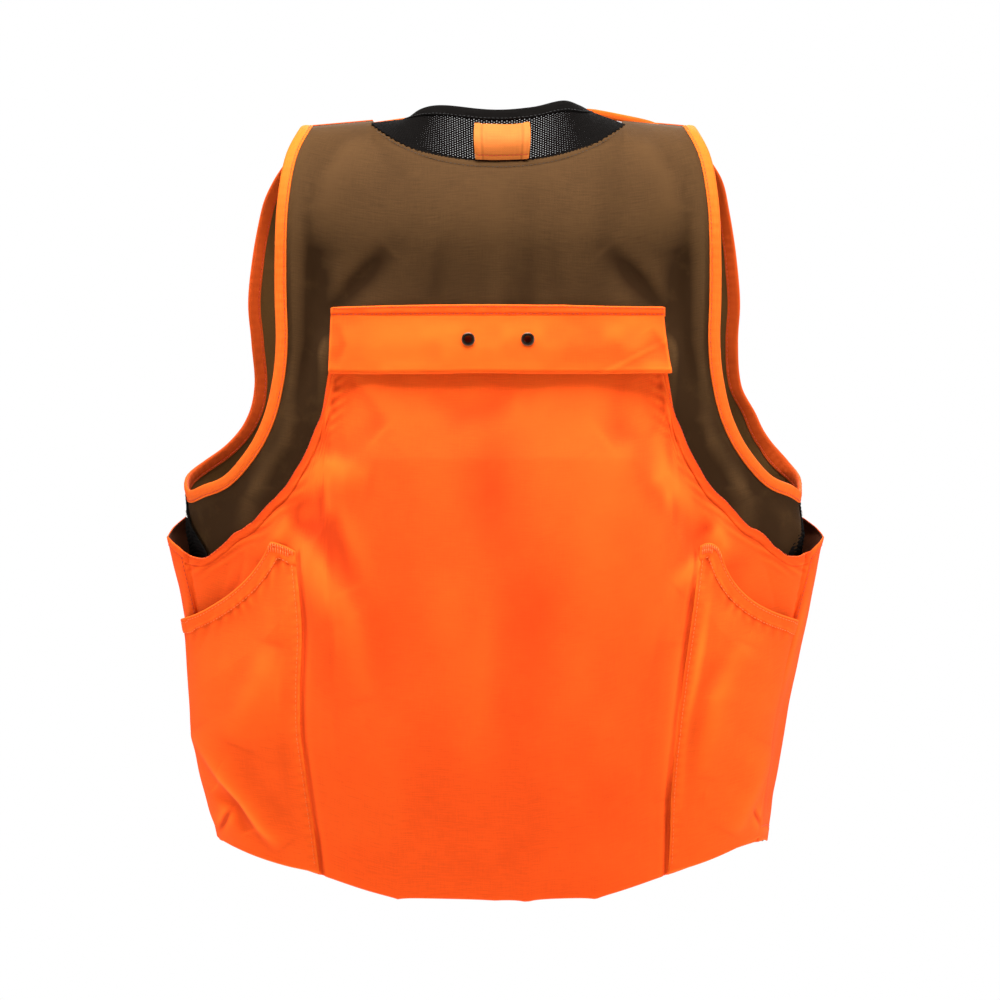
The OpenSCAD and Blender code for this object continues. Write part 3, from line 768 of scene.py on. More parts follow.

# the brown gets strong painted shade in creases, and its random dark patches are deep too
brown_cloth = fabric("brown_cloth", BROWN, LINING, pitch=0.8, twill=True, tint=0.13, rough=0.8,
                     sheen=0.015, bump=0.5, worn=srgb(84, 60, 32), specular=0.05,
                     mottle_and_painted_shade=(0.56, 0.5, 0.42))
# the orange cloths get a paler, yellower painted highlight on ridges and a redder painted shade in creases
orange = {"painted_ridge_highlight": (1.1, 1.75, 1.7), "mottle_and_painted_shade": (0.86, 0.66, 0.66)}
bag_cloth = fabric("bag_cloth", BAG_ORANGE, MAROON, tint=0.09, worn=srgb(250, 88, 25), **orange)
# the bag's cloth again, a touch paler throughout: painted light
painted_lit_cloth = fabric("painted_lit_cloth", PAINTED_LIT_ORANGE, MAROON, tint=0.09, worn=srgb(251, 94, 27), **orange)
binding_tape = fabric("binding_tape", BINDING_ORANGE, pitch=1.1, tint=0.10, rough=0.7, bump=0.5,
                      painted_ridge_highlight=(1.1, 1.5, 1.5), mottle_and_painted_shade=(0.7, 0.45, 0.6))
webbing = fabric("webbing", LOOP_ORANGE, pitch=1.6, tint=0.07, rough=0.6, bump=0.8)
tab_webbing = fabric("tab_webbing", srgb(250, 100, 34), pitch=1.6, tint=0.07, rough=0.7, bump=0.8)
liner_cloth = fabric("liner_cloth", MAROON, pitch=1.0, tint=0.1)
black = {"sheen": 0.0, "specular": 0.04, "rough": 0.92}
black_elastic = fabric("black_elastic", BLACK, pitch=1.4, tint=0.2, bump=0.7, **black)
black_tape = fabric("black_tape", BLACK, pitch=0.9, tint=0.2, bump=0.5, **black)
black_net = fabric("black_net", srgb(13, 11, 10), pitch=0.4, tint=0.2, **black)
zip_tape_cloth = fabric("zip_tape_cloth", BAG_ORANGE, pitch=0.7, tint=0.08, bump=0.7)
hook_fleece = fabric("hook_fleece", BLACK, pitch=1.9, tint=0.3, rough=0.9, sheen=0.03, bump=1.0,
                     specular=0.04)
orange_thread = thread("orange_thread", srgb(214, 56, 20))
pale_thread = thread("pale_thread", srgb(252, 118, 40))
brown_thread = thread("brown_thread", srgb(58, 40, 24))
black_thread = thread("black_thread", srgb(30, 29, 28))
white_thread = thread("white_thread", srgb(235, 232, 225))
antique = metal("antique_metal", srgb(74, 60, 50))
zip_plastic = moulded("zip_plastic", srgb(246, 84, 26))

# ---- the body that each piece rides on ----


def settle(o, body, slot, *nodes):
    """A piece rides on its body and stands for the CAD nodes it replaces. slot is not used."""
    if nodes:
        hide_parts(*nodes)
    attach(o, body)


def swing(o, side, slot, *nodes):
    """For cloth that hangs from the back and runs to the front: it stands for the CAD nodes it replaces,
    and its placing is baked into its mesh.
    """
    if nodes:
        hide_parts(*nodes)
    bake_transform(o)


# ---- back panel ----

PANEL_COVER = 3.5          # how far a panel stops inside the armhole's edge, under its binding
INNER_TURN = 61.6          # the panels' columns keep their place up to this turn
BACK_SHORT = 5             # how far the back panel ends above the bag's bottom edge
BACK_SIDE = 89.7           # turn of each panel's side edge
FRONT_SIDE = 89.6
BACK_HEM_W = 6.6           # seam lines, from the edge of the cloth
BAG_HEM_W = 7.2
MOUTH_HEM_W = 11.2


def edge_turn(path, z, side_turn, low_z):
    """Turn of a panel's armhole edge at height z, and of its side edge below low_z."""
    moved = inward(path, PANEL_COVER)
    order = np.argsort(moved[:, 1])
    edge_x = curve_through(moved[order][:, ::-1])
    return np.where(z <= low_z, side_turn, turn_at(edge_x(z), body_half(z)))


def columns_to(c, edge):
    """Turns for columns c, 0 in the panel's middle and 1 at its edge. The inner ones keep their
    place where the edge jumps out below the armhole."""
    knee = np.minimum(0.9 * edge, INNER_TURN)
    return np.where(c < 0.75, c / 0.75 * knee, knee + (c - 0.75) / 0.25 * (edge - knee))


back_rows = np.concatenate([np.linspace(-703, -360, 118), np.linspace(-358, -318, 32),
                            np.linspace(-316, -0.4, 112)])


def back_heights(row_z, x):
    """Heights of the back's rows, which follow the hem at the foot and the neck at the top."""
    rise = hem_line(np.abs(x)) - hem_line(0) + BACK_SHORT
    return (row_z + rise * unit((-500 - row_z) / 203)
            + neckline(x) * unit((row_z + 150) / 150) ** 2)


def yoke_relief(x, z):
    """Soft vertical drape of the yoke, and the pull beside the flap's ends."""
    r = 2.0 * noise(x, z * 0.45, 64, 11) + 0.8 * noise(x, z * 0.5, 27, 12)
    r -= 4.5 * bell(z + 148, 40) * ease((215 - np.abs(x)) / 60) * ease((-z - 60) / 60)
    for side in (-1, 1):
        r += folds(x * side, z, [
            ([(120, -8), (146, -60), (158, -120)], 17, 3.0, 0.3),
            ([(166, -80), (162, -150), (166, -205), (180, -270)], 15, -6.0, 0.2),
            ([(96, -118), (128, -150), (152, -185)], 13, -3.4, 0.2),
            ([(174, -235), (192, -290), (222, -340)], 10, 3.0, 0.2),
        ])
    r += folds(x, z, [
        ([(10, -60), (16, -110), (8, -168)], 20, 0.9),
        ([(-62, -100), (-72, -168)], 14, 1.0, 0.4),
        ([(58, -90), (70, -168)], 16, 0.9, -0.4),
    ])
    return r


def make_back_panel():
    """Brown inner back with its hemmed neckline."""
    columns = np.linspace(-1, 1, 201)[None]
    z = back_rows[:, None]
    edge = edge_turn(ARMHOLE_BACK, z, BACK_SIDE, -337)
    turn = np.sign(columns) * columns_to(np.abs(columns), edge)
    x, _ = section(turn, body_half(z), 1)
    height = back_heights(z, x)
    face = on_body(turn, height, CLOTH_T)
    # below the flap the bag hides the panel, so the relief is only needed above and beside it
    to_edge, _ = to_path(np.abs(x), height, ARMHOLE_BACK)
    inside = ease((np.abs(to_edge) - 12) / 20) * ease((height + 690) / 60)
    inside = inside * ease((BACK_SIDE - np.abs(turn)) / 12)
    from_neck = np.where(np.abs(x) < NECK_W, neckline(x) - height, 60)
    r = yoke_relief(x, height) * inside * ease((from_neck - 4) / 26) * ease((-height - 2) / 30)
    under_bag = ease((168 - np.abs(x)) / 16)
    r = r * (1 - under_bag * ease((-height - 186) / 30)) - 0.4 * under_bag * ease((-height - 214) / 20)
    neck_hem = 0.35 * ease((7.5 - from_neck) / 2) - 0.5 * bell(from_neck - BACK_HEM_W, 1.0)
    r += np.where(np.abs(x) < NECK_W - 3, neck_hem, 0)
    # painted shade low on the yoke above the flap and, stronger, at its sides beside the flap, with a
    # painted highlight down a narrow band within each side; the noise is random tone
    aside = ease((np.abs(x) - 132) / 34) * ease((-height - 70) / 110)
    above = ease((-height - 70) / 90) * (1 - ease((np.abs(x) - 138) / 30))
    tone = 0.10 * noise(x, height * 0.6, 60, 13) - 1.0 * aside - 0.3 * above
    tone += 0.4 * aside * bell(np.abs(x) - mix(166, 222, unit((-height - 190) / 150)), 8)
    # a weak painted highlight along its edges
    o, outer, n = cloth("back_panel_cloth", face, CLOTH_T, brown_cloth, r, tone=tone, wear_and_edge_highlight=0.2)
    settle(o, "back", "brown_cloth", "back_panel")
    middle = np.nonzero(np.abs(x[-1]) < NECK_W - 4)[0]
    row = level_line(outer, n, BACK_HEM_W - from_neck, 0.05, middle)
    settle(stitches("neckline_stitches", [row], brown_thread, radius=0.3), "back", "brown_cloth")


def ring_track(side):
    """The armhole edge: turn and height, from the back's shoulder round the underarm to the
    front's shoulder."""
    back = [(turn_at(x, body_half(z)), z) for x, z in ARMHOLE_BACK[::-1]]
    front = [(180 - turn_at(x, body_half(z)), z) for x, z in ARMHOLE_FRONT]
    track = np.array(back + front, float)
    scale = 2.5
    track[:, 0] *= scale
    dense = smooth_path(track, 2.0)
    dense[:, 0] /= scale
    dense[:, 1] = np.minimum(dense[:, 1], -0.5)
    return side * dense[:, 0], dense[:, 1]


def body_normals(turn, z, step=0.4):
    """Outward normals of the body surface."""
    sign = np.sign(turn)
    across = on_body(turn + sign * step, z, 0.0) - on_body(turn - sign * step, z, 0.0)
    up = on_body(turn, np.minimum(z + step, -0.05), 0.0) - on_body(turn, z - step, 0.0)
    n = np.cross(across, up) * sign[:, None]
    return n / np.linalg.norm(n, axis=1, keepdims=True)


def onto_body(p):
    """Points drawn back onto the body surface, below the shoulder arch."""
    z = p[..., 2]
    reach = (np.abs(p[..., 0] / body_half(z)) ** SQUARENESS
             + np.abs(p[..., 1] / BODY_D) ** SQUARENESS) ** (1 / SQUARENESS)
    share = ease((-z - 105) / 40)
    out = p.copy()
    out[..., :2] *= mix(1.0, 1.0 / reach, share)[..., None]
    return out


BINDING_PROFILE = [(11.4, 2.3), (11.1, 3.0), (10.4, 3.05), (9.6, 2.45), (8.8, 3.05), (5.8, 3.6),
                   (2.8, 3.5), (0.9, 2.9), (0.0, 1.6), (0.0, 0.4), (0.9, -0.7), (2.8, -1.1),
                   (5.8, -1.15), (8.8, -0.8), (9.6, -0.5), (10.4, -0.75), (11.1, -0.8), (11.4, -0.3)]


def make_armhole(side):
    """Binding folded over the whole armhole edge, with its row of stitches."""
    hand = SIDES[side]
    turn, z = ring_track(hand)
    p = on_body(turn, z, 0.0)
    n = body_normals(turn, z)
    t = np.gradient(p, axis=0)
    t /= np.linalg.norm(t, axis=1, keepdims=True)
    b = np.cross(n, t) * -hand
    run = run_along(p)
    pucker = 0.2 * np.sin(2 * np.pi * run / 8.5 + 2 * noise(run, run * 0, 40, 21))
    pucker += 0.4 * noise(run, run * 0, 24, 22)
    loops = []
    for w, o in BINDING_PROFILE:
        base = onto_body(p + w * b)
        swell = pucker * math.sin(math.pi * unit(w / 11.4)) * (1 if o > 1 else -1)
        loops.append(base + (o + swell)[:, None] * n)
    loops = np.stack(loops, 1)
    # the tape gets a painted highlight towards the shoulder and painted shade lower down, on its inner
    # side and in its stitch groove
    outside = np.array([1.0 if o > 1.4 else 0.0 for _, o in BINDING_PROFILE])
    tone = mix(-0.75, mix(-0.3, 0.4, unit((z + 330) / 300))[:, None], outside[None])
    tone[:, [3]] -= 0.3
    o = tube(f"armhole_binding_{side}", loops, binding_tape, closed=True, tone=tone)
    swing(o, side, "orange_binding", f"armhole_binding_back_{side}", f"armhole_binding_front_{side}")
    line = onto_body(p + 9.6 * b) + 2.7 * n
    inner = onto_body(p + 9.6 * b) - 0.62 * n
    rows = [(line, n), (inner, -n)]
    swing(stitches(f"armhole_stitches_{side}", rows, orange_thread), side, "orange_binding")


# ---- game bag ----

# where the bag's bottom gathers into slight points: place across, and drop
HEM_POINTS = [(-88, 2.2), (29, 2.6), (92, 2.6)]
HEM_DEPTH = 9
bag_rim = [(x, float(bag_line(x))) for x in np.linspace(147, 295, 75)]


def bag_relief(x, z, top):
    """Drape of the bag: broad swells, soft verticals under the flap and creases by the pockets.
    top is the distance to the rim."""
    r = 3.4 * noise(x, z * 0.7, 90, 31) + 0.8 * noise(x * 1.1, z * 0.8, 46, 32)
    r += 0.06 * noise(x, z, 16, 33)
    r += folds(x, z, [
        ([(-150, -230), (-136, -252), (-104, -282)], 14, -4.2, 0.2),
        ([(-196, -334), (-160, -312), (-112, -322)], 17, 5.0, 0.2),
        ([(-196, -340), (-152, -366), (-128, -420)], 15, -4.0, 0.3),
        ([(-200, -352), (-172, -388), (-134, -446), (-116, -520)], 18, 4.0, 0.2),
        ([(150, -232), (132, -262), (96, -290)], 15, -3.4, 0.2),
        ([(146, -262), (150, -320), (186, -366)], 18, 4.6, -0.3),
        ([(206, -352), (188, -392), (160, -420)], 13, 3.6, -0.3),
        ([(-50, -238), (-30, -262), (14, -250)], 14, -2.4, 0.3),
        ([(-178, -335), (-196, -372), (-206, -400)], 13, 3.4, 0.4),
        ([(-232, -385), (-238, -415), (-262, -452)], 8, -3.0, 0.4),
        ([(184, -340), (198, -366), (204, -402)], 12, 2.8, -0.4),
        ([(166, -470), (170, -540), (160, -610)], 11, 3.2, 0.5),
        ([(-60, -260), (-40, -420), (-66, -560)], 46, 2.2),
        ([(70, -260), (88, -430), (60, -600)], 40, 2.0),
    ])
    r = 0.75 * r * ease(top / 28) * ease((-190 - z) / 24) * ease((z - hem_line(np.abs(x)) - 4) / 50)
    # the cloth stays clear of the liner behind it
    room = 0.4 + 9 * ease((top - 22) / 70) * ease((-z - 240) / 80)
    return np.where(r < 0, -room * np.tanh(-r / room), r)


def hem_profile():
    """Heights over the hem and offsets of the bag's turned-under bottom edge, from the inside."""
    radius = (BAG_GAP + BAG_T) / 2
    angles = np.radians(np.linspace(180, 0, 11))
    lift = radius - radius * np.sin(angles)
    o = radius + radius * np.cos(angles)
    return (np.concatenate([[HEM_DEPTH, HEM_DEPTH / 2], lift]), np.concatenate([[0, 0], o]) - BAG_GAP)


def make_game_bag():
    """The bag's cloth, with its turned-under bottom edge and the hems at its open sides."""
    t = np.linspace(-1, 1, 241)
    # columns crowd towards the sides, where the rim curves
    turn = (np.sign(t) * SEAM_TURN * np.abs(t) ** 0.94)[None]
    lift, hem_o = hem_profile()
    steps = np.linspace(0, 1, 214)[1:]
    x_foot, _ = section(turn, outer_half(-680), 1)
    x_top, _ = section(turn, RIM_HALF, 1)
    foot = hem_line(np.abs(x_foot))
    for corner, drop in HEM_POINTS:
        foot = foot - drop * np.exp(-np.abs(x_foot - corner) / 9)
    wave = 1.1 * noise(x_top, x_top * 0, 21, 41) + 0.8 * noise(x_top, x_top * 0, 6, 42)
    wave = wave * unit((np.abs(x_top) - 150) / 20)
    top = bag_line(np.abs(x_top)) + wave
    start = foot + lift[-1] + 0.5
    # the rows run level until a little below the rim, whose height jumps beside the flap
    level = np.minimum(top - 25, -262)
    steps = steps[:, None]
    z_face = np.where(steps < 0.8, mix(start, level, steps / 0.8), mix(level, top, (steps - 0.8) / 0.2))
    low = np.stack([on_outer(turn[0], foot[0] + a, b) for a, b in zip(lift, hem_o)])
    high = on_outer(turn, z_face, BAG_T)
    grid = np.concatenate([low, high])
    x, z = grid[..., 0], grid[..., 2]
    ax = np.abs(x)
    d = np.abs(to_path(ax, z, bag_rim)[0])
    r = bag_relief(x, z, d)
    side_edge = z < -232
    r += np.where(side_edge, 0.8 * ease((7.6 - d) / 1.2) - 0.5 * bell(d - BAG_HEM_W, 1.0), 0.0)
    pull = np.sin(2 * np.pi * (z + 0.6 * ax) / 9.5 + 2.4 * noise(z, x, 30, 43))
    r += np.where(side_edge, 0.28 * pull * bell(d - 10, 6) * unit(d / 3), 0.0)
    r[: len(lift) - 2] = 0
    hem_band = np.where(side_edge, ease((7.4 - d) / 1.2), 0.0)
    by_pocket = bell(ax - pocket_seam(z) + 2.5, 1.8) * ease((-z - 384) / 8)
    r -= 0.7 * by_pocket
    # random tone; painted shade in the groove beside each pocket's seam and across the middle below the
    # flap, a painted highlight right of the middle, a little paler overall, and darker along the side hems
    tone = 0.05 * noise(x, z * 0.8, 120, 44) - 0.28 * hem_band - 0.6 * by_pocket
    tone -= 0.22 * bell(ax / 130, 1) * ease((-z - 240) / 120) - 0.12
    tone += 0.3 * bell(x - 112, 55) * ease((-z - 240) / 90) * ease((z + 560) / 160)
    o, outer, n = cloth("game_bag_cloth", grid, BAG_T, bag_cloth, r, tone=tone)
    settle(o, "back", "orange_cloth", "game_bag_panel", "bottom_hem")
    line = inward(bag_rim, BAG_HEM_W)
    line = line[line[:, 1] < -236]
    rows = []
    for hand in (-1, 1):
        places = np.array([nearest_on(outer, hand * a, b) for a, b in line])
        rows.append(on_grid(outer, n, places[:, 0], places[:, 1], 0.1))
    settle(stitches("bag_side_stitches", rows, orange_thread), "back", "orange_cloth")


# turn at which each pocket ends: the right one at the side seam, the left one round the side
POCKET_END = {-1: 87.5, 1: SEAM_TURN + 0.6}


def pocket_grid(hand, columns, rows, lift):
    """Face of a side patch pocket, from its foot to its mouth and from its seam outwards."""
    t = np.linspace(0, 1, columns)[None]
    s = np.linspace(0, 1, rows)[:, None]
    top = np.full(t.shape, -410.0)
    for _ in range(24):
        reach = mix(turn_at(pocket_seam(top), outer_half(top)), POCKET_END[hand], t)
        x_top, _ = section(reach, outer_half(top) + 2, 1)
        top = mix(top, MOUTHS[hand](x_top), 0.5)
    foot = hem_line(mix(156, 247, t)) + 3
    z = mix(foot, top, s)
    inner = turn_at(pocket_seam(z), outer_half(z))
    puff = POCKET_BULGE * np.sin(np.pi * unit(0.06 + 0.92 * t)) ** 0.6
    puff = puff * np.sin(np.pi / 2 * unit(s * 1.15)) ** 0.8 * ease(t * 10 + 0.1) * ease((1 - t) * 8)
    turn = hand * mix(inner, POCKET_END[hand], t)
    return on_outer(turn, z, BAG_T + lift + puff), s, t, top


def pocket_relief(x, z, hand):
    """Creases low on the pocket, and the swirl where its bottom corner is folded in."""
    r = 1.6 * noise(x, z * 0.7, 60, 51 + hand) + 0.5 * noise(x, z, 24, 53 + hand)
    ax = np.abs(x)
    if hand < 0:
        r += folds(ax, z, [
            ([(268, -548), (246, -578), (226, -606), (206, -634), (190, -654)], 10, 7.5, 0.45),
            ([(250, -600), (232, -616), (222, -640)], 8, -4.5, 0.3),
            ([(200, -470), (214, -520), (232, -560)], 20, 4.4, 0.2),
        ])
    else:
        r += folds(ax, z, [
            ([(186, -430), (180, -500), (172, -556), (166, -620)], 10, 6.0, 0.5),
            ([(226, -470), (206, -520), (196, -590)], 15, 4.6, -0.3),
            ([(254, -560), (236, -600), (214, -640)], 12, 5.0, 0.35),
        ])
    r += fold(ax, z, [(237, -618), (249, -642)], 2.6, -2.4)
    return r


def make_side_pocket(side):
    """Patch pocket with a hemmed, curved mouth."""
    hand = SIDES[side]
    face, s, t, top = pocket_grid(hand, 110, 160, 0.5 + BAG_T)
    x, z = face[..., 0], face[..., 2]
    rim = np.stack([np.abs(x[-1]), top[0]], 1)
    d = np.abs(to_path(np.abs(x), z, rim[::3])[0])
    from_seam = np.abs(np.abs(x) - pocket_seam(z))
    r = pocket_relief(x, z, hand) * ease(from_seam / 22) * ease(d / 26) * ease((1 - t) * 9) * ease(s * 9)
    r += 1.0 * ease((12.0 - d) / 1.2) - 0.3 * bell(d - MOUTH_HEM_W, 1.0) - 0.3 * bell(d - 2.0, 0.9)
    r += 0.3 * np.sin(2 * np.pi * np.abs(x) / 9.5 + 2.6 * noise(x, z, 24, 57)) * bell(d - 14, 6)
    r += seam(from_seam - 2.2, z, 0.3, 4, 58)
    tone = 0.12 * noise(x, z * 0.9, 70, 59 + hand) - 0.12 * ease((11.4 - d) / 1.2)
    # its edges get a strong painted highlight
    o, outer, n = cloth(f"side_pocket_cloth_{side}", face, BAG_T, painted_lit_cloth, r, tone=tone, wear_and_edge_highlight=0.8)
    settle(o, "back", "orange_pocket_cloth", f"side_pocket_{side}")
    across = np.arange(3, outer.shape[1] - 1)
    lines = [level_line(outer, n, at - d, 0.05, across) for at in (MOUTH_HEM_W, 2.0)]
    lines.append(on_grid(outer, n, np.linspace(4, outer.shape[0] - 8, 140), 1.6, 0.05))
    settle(stitches(f"side_pocket_stitches_{side}", lines, pale_thread), "back", "orange_pocket_cloth")
    # bartack across the top of the mouth, where it meets the bag
    rows_at = outer.shape[0] - np.array([1.2, 4.2])
    bars = [on_grid(outer, n, rows_at, 1.0 + i * 0.9, 0.25) for i in range(11)]
    tack = stitches(f"side_pocket_bartack_{side}", bars, pale_thread, length=4.2, gap=0.2, radius=0.45)
    settle(tack, "back", "orange_pocket_cloth")
    return tack


def make_liner():
    """Brown liner of the bag, on the back panel."""
    z = np.linspace(-690, -230, 110)[:, None]
    t = np.linspace(-1, 1, 110)[None]
    turn = t * np.minimum(62, turn_at(bag_edge(z) - 9, body_half(z)))
    x, _ = section(turn, body_half(z), 1)
    face = on_body(turn, back_heights(z, x), CLOTH_T + 1.2)
    r = 0.25 * noise(x, z, 40, 61) * ease((1 - np.abs(t)) * 8)
    o, _, _ = cloth("bag_liner_cloth", face, 0.8, liner_cloth, r)
    settle(o, "back", "liner", "bag_liner")


def make_elastic(side):
    """Gathered black elastic below the armhole."""
    hand = SIDES[side]
    s = np.linspace(0, 1, 90)[:, None]
    t = np.linspace(0, 1, 24)[None]
    z = mix(-337.5, -412, s)
    turn = hand * (90.6 - mix(3, 21, ease(s * 1.2)) * t)
    face = on_body(turn, z, CLOTH_T + 1.6)
    pleat = 0.35 * np.sin(2 * np.pi * z / 3.6 + 2.4 * np.sin(t * 7)) + 0.5 * noise(z, turn * 3, 9, 65)
    o, _, _ = cloth(f"side_elastic_cloth_{side}", face, 1.2, black_elastic, pleat)
    settle(o, "back", "elastic", f"side_elastic_{side}")
    tack_z = np.array([-351.0, -354, -357])
    apex = on_body(hand * np.array([86.5, 84.5, 83.0]), tack_z, 4.6)
    row = (apex, body_normals(np.full(3, hand * 86.5), tack_z))
    tack = stitches(f"side_elastic_tack_{side}", [row], white_thread, length=3.6, gap=0.8, radius=0.45)
    settle(tack, "back", "elastic")


# ---- flap ----

FLAP_TOP = -169
FLAP_SEAM = -178
FLAP_FOOT = -229
FLAP_HALF = 149
FLAP_T = 1.8


def flap_raise(z):
    """How far the flap stands off the body below its seam."""
    s = (FLAP_SEAM - z) / (FLAP_SEAM - FLAP_FOOT)
    return 4.2 * ease(1.6 * s) + 5.3 * unit(s)


def make_flap_band():
    """Band stitched on the seam that holds the flap."""
    t = np.linspace(-1, 1, 200)[None]
    drop = 0.6 * noise(t * 150, t * 0, 60, 71) - 1.6 * np.abs(t) ** 3
    z = np.linspace(FLAP_SEAM + 0.2, FLAP_TOP, 14)[:, None] + drop * np.linspace(0, 1, 14)[:, None]
    half = FLAP_HALF - 0.5
    face = on_body(body_turn_at(t * half, z, 4.6), z, 4.6)
    d = np.linspace(0, 1, 14)[:, None] * 9
    r = 0.35 * np.sin(np.pi * d / 9) + 0.3 * noise(t * half, z, 12, 72) * np.sin(np.pi * d / 9)
    r = r - 0.55 * bell(d - 1.6, 0.9)
    band, outer, n = cloth("flap_seam_cloth", face, 2.0, painted_lit_cloth, r)
    settle(band, "back", "orange_cloth", "flap_seam_band")
    c = np.linspace(1, 198, 260)
    rows = [on_grid(outer, n, 13 * at / 9, c, 0.1) for at in (1.6, 8.0)]
    settle(stitches("flap_seam_stitches", rows, orange_thread), "back", "orange_cloth")


def make_flap():
    """The doubled flap below its band, with two eyelets."""
    t = np.linspace(-1, 1, 200)[None]
    s = np.linspace(0, 1, 46)[:, None]
    z = mix(FLAP_SEAM, FLAP_FOOT, s) + 0 * t
    flare = np.where(t > 0, mix(-1.5, 4.5, s ** 1.3), mix(-0.5, 1.5, s))
    x = t * (FLAP_HALF + flare)
    sag = 0.9 * noise(x, z * 0, 48, 73) * s
    offset = 2.6 + FLAP_T + flap_raise(z)
    face = on_body(body_turn_at(x, z, offset), z + sag, offset)
    r = 1.3 * noise(x, z * 0.5, 50, 74) * s + 0.6 * noise(x, z, 18, 75) * ease(s * 3)
    # its right corner turns up along a slanting crease
    past = ((x - 101) * 25 - (z + 226) * 48.4) / 54.5
    r += 0.17 * np.maximum(past, 0) * ease(s * 3) + 0.6 * bell(past, 2.5) * ease(s * 4)
    r += folds(x, z, [
        ([(134, -190), (146, -208), (152, -226)], 7, -1.6, 0.4),
        ([(-146, -184), (-140, -204), (-146, -224)], 6, -1.2, 0.3),
    ])
    r -= 1.2 * ease((s - 0.94) / 0.06)
    # a painted highlight over the whole flap, with random tone
    tone = 0.25 + 0.3 * noise(x, z * 1.6, 44, 76)
    flap, _, _ = cloth("bag_flap_cloth", face, FLAP_T, painted_lit_cloth, r, roll=0.6, tone=tone)
    low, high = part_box("flap_eyelets")
    reach = (high.x - low.x) / 2 / MM - 6.0
    middle_z = (low.z + high.z) / 2 / MM
    cut_holes(flap, [(-reach, middle_z), (reach, middle_z)], 4.25, low.y / MM)
    settle(flap, "bag_flap", "orange_pocket_cloth", "bag_flap")
    for name in ("flap_eyelets", "flap_eyelet_washers"):
        dress(name, antique, 0.25)


def dress(node, material, bevel=0.0):
    """A CAD node that stays, with its material and softened edges."""
    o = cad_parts[node]
    o.data.materials.clear()
    o.data.materials.append(material)
    if bevel:
        m = o.modifiers.new("edges", "BEVEL")
        m.width, m.segments, m.limit_method = bevel * MM, 3, "ANGLE"
        m.angle_limit = math.radians(35)
        m.harden_normals = True
    return o


def make_fasteners():
    """Hook and loop strips that hold the flap down."""
    for side, hand in SIDES.items():
        for kind in ("loop", "hook"):
            u = np.linspace(68, 132, 60)[None]
            z = np.linspace(-216, -199, 18)[:, None] + 0 * u
            if kind == "loop":
                face = on_outer(hand * turn_at(u, RIM_HALF) + 0 * z, z, BAG_T + 2.4)
                body = "back"
            else:
                face = on_body(body_turn(hand * u, z), z, 2.6 + flap_raise(z) - 1.3)
                body = "bag_flap"
            r = 0.22 * noise(u, z, 1.3, 81) + 0.12 * noise(u, z, 3.1, 82)
            strip, _, _ = cloth(f"flap_{kind}_strip_{side}", face, 0.8, hook_fleece, r,
                                outward=kind == "loop")
            if side == "left":
                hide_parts("bag_loop_strips" if kind == "loop" else "flap_hook_strips")
            settle(strip, body, "hook_and_loop")


# ---- collar ----

def collar_point(u, r, o):
    """Standing collar: u runs round the neck from -1 to 1 and r from the neckline to the top."""
    u, r, o = np.broadcast_arrays(np.asarray(u, float), r, o)
    x = NECK_W * u
    low = on_body(body_turn(x, -20.0), np.minimum(-0.05, neckline(x)), CLOTH_T)
    swing = np.pi / 2 * u
    high = np.stack([78 * np.sin(swing), -0.8 - 62 * np.cos(swing) ** 0.8,
                     7 + 5 * np.sin(np.pi * np.abs(u)) ** 2 - 5 * np.abs(u) ** 4
                     + 5 * ease((u - 0.25) / 0.35) + 3 * ease((u - 0.7) / 0.3)], -1)
    out = np.stack([0.5 * np.sin(swing), -np.ones_like(u), np.full_like(u, 0.15)], -1)
    return mix(low, high, r[..., None]) + o[..., None] * out + np.array([0, -0.2, 0.2])


def make_net():
    """Knitted mesh of the collar, as real holes."""
    us = np.linspace(-0.985, 0.985, 400)
    mid = collar_point(us, 0.5, 0.0)
    run = run_along(mid)
    tall = np.linalg.norm(collar_point(us, 1.0, 0.0) - collar_point(us, 0.0, 0.0), axis=1)
    wide, high = 3.1, 2.3
    verts, faces, coords, index = [], [], [], {}

    def vertex(s, h):
        key = (round(s, 3), round(h, 3))
        if key not in index:
            u = np.interp(s, run, us)
            t = np.interp(s, run, tall)
            r = min(0.86, h / t)
            index[key] = len(verts)
            verts.append(collar_point(u, r, 0.6 + 0.25 * math.sin(s * 2.1) * math.sin(h * 2.4)))
            coords.append((s * MM, h * MM, 0))
        return index[key]

    hexagon = [(-0.5, 0.0), (-0.22, 0.5), (0.22, 0.5), (0.5, 0.0), (0.22, -0.5), (-0.22, -0.5)]
    col = 0
    s = run[0] + wide
    while s < run[-1] - wide:
        top = np.interp(s, run, tall) * 0.84
        h = high * (-2.0 if col % 2 else -1.5)
        while h < top:
            outer = [vertex(s + a * wide, h + b * high) for a, b in hexagon]
            hole = mix(0.36, 0.2, unit((abs(np.interp(s, run, us)) - 0.35) / 0.3))
            inner = [vertex(s + a * wide * hole, h + b * high * hole) for a, b in hexagon]
            for i in range(6):
                j = (i + 1) % 6
                faces.append((outer[i], outer[j], inner[j], inner[i]))
            h += high
        s += wide * 0.72
        col += 1
    o = make_object("neck_mesh_net", np.array(verts), np.array(faces), np.array(coords), black_net)
    m = o.modifiers.new("yarn", "SOLIDIFY")
    m.thickness, m.offset = 0.0006, 0.0
    applied(o)
    settle(o, "back", "black_mesh", "neck_mesh")


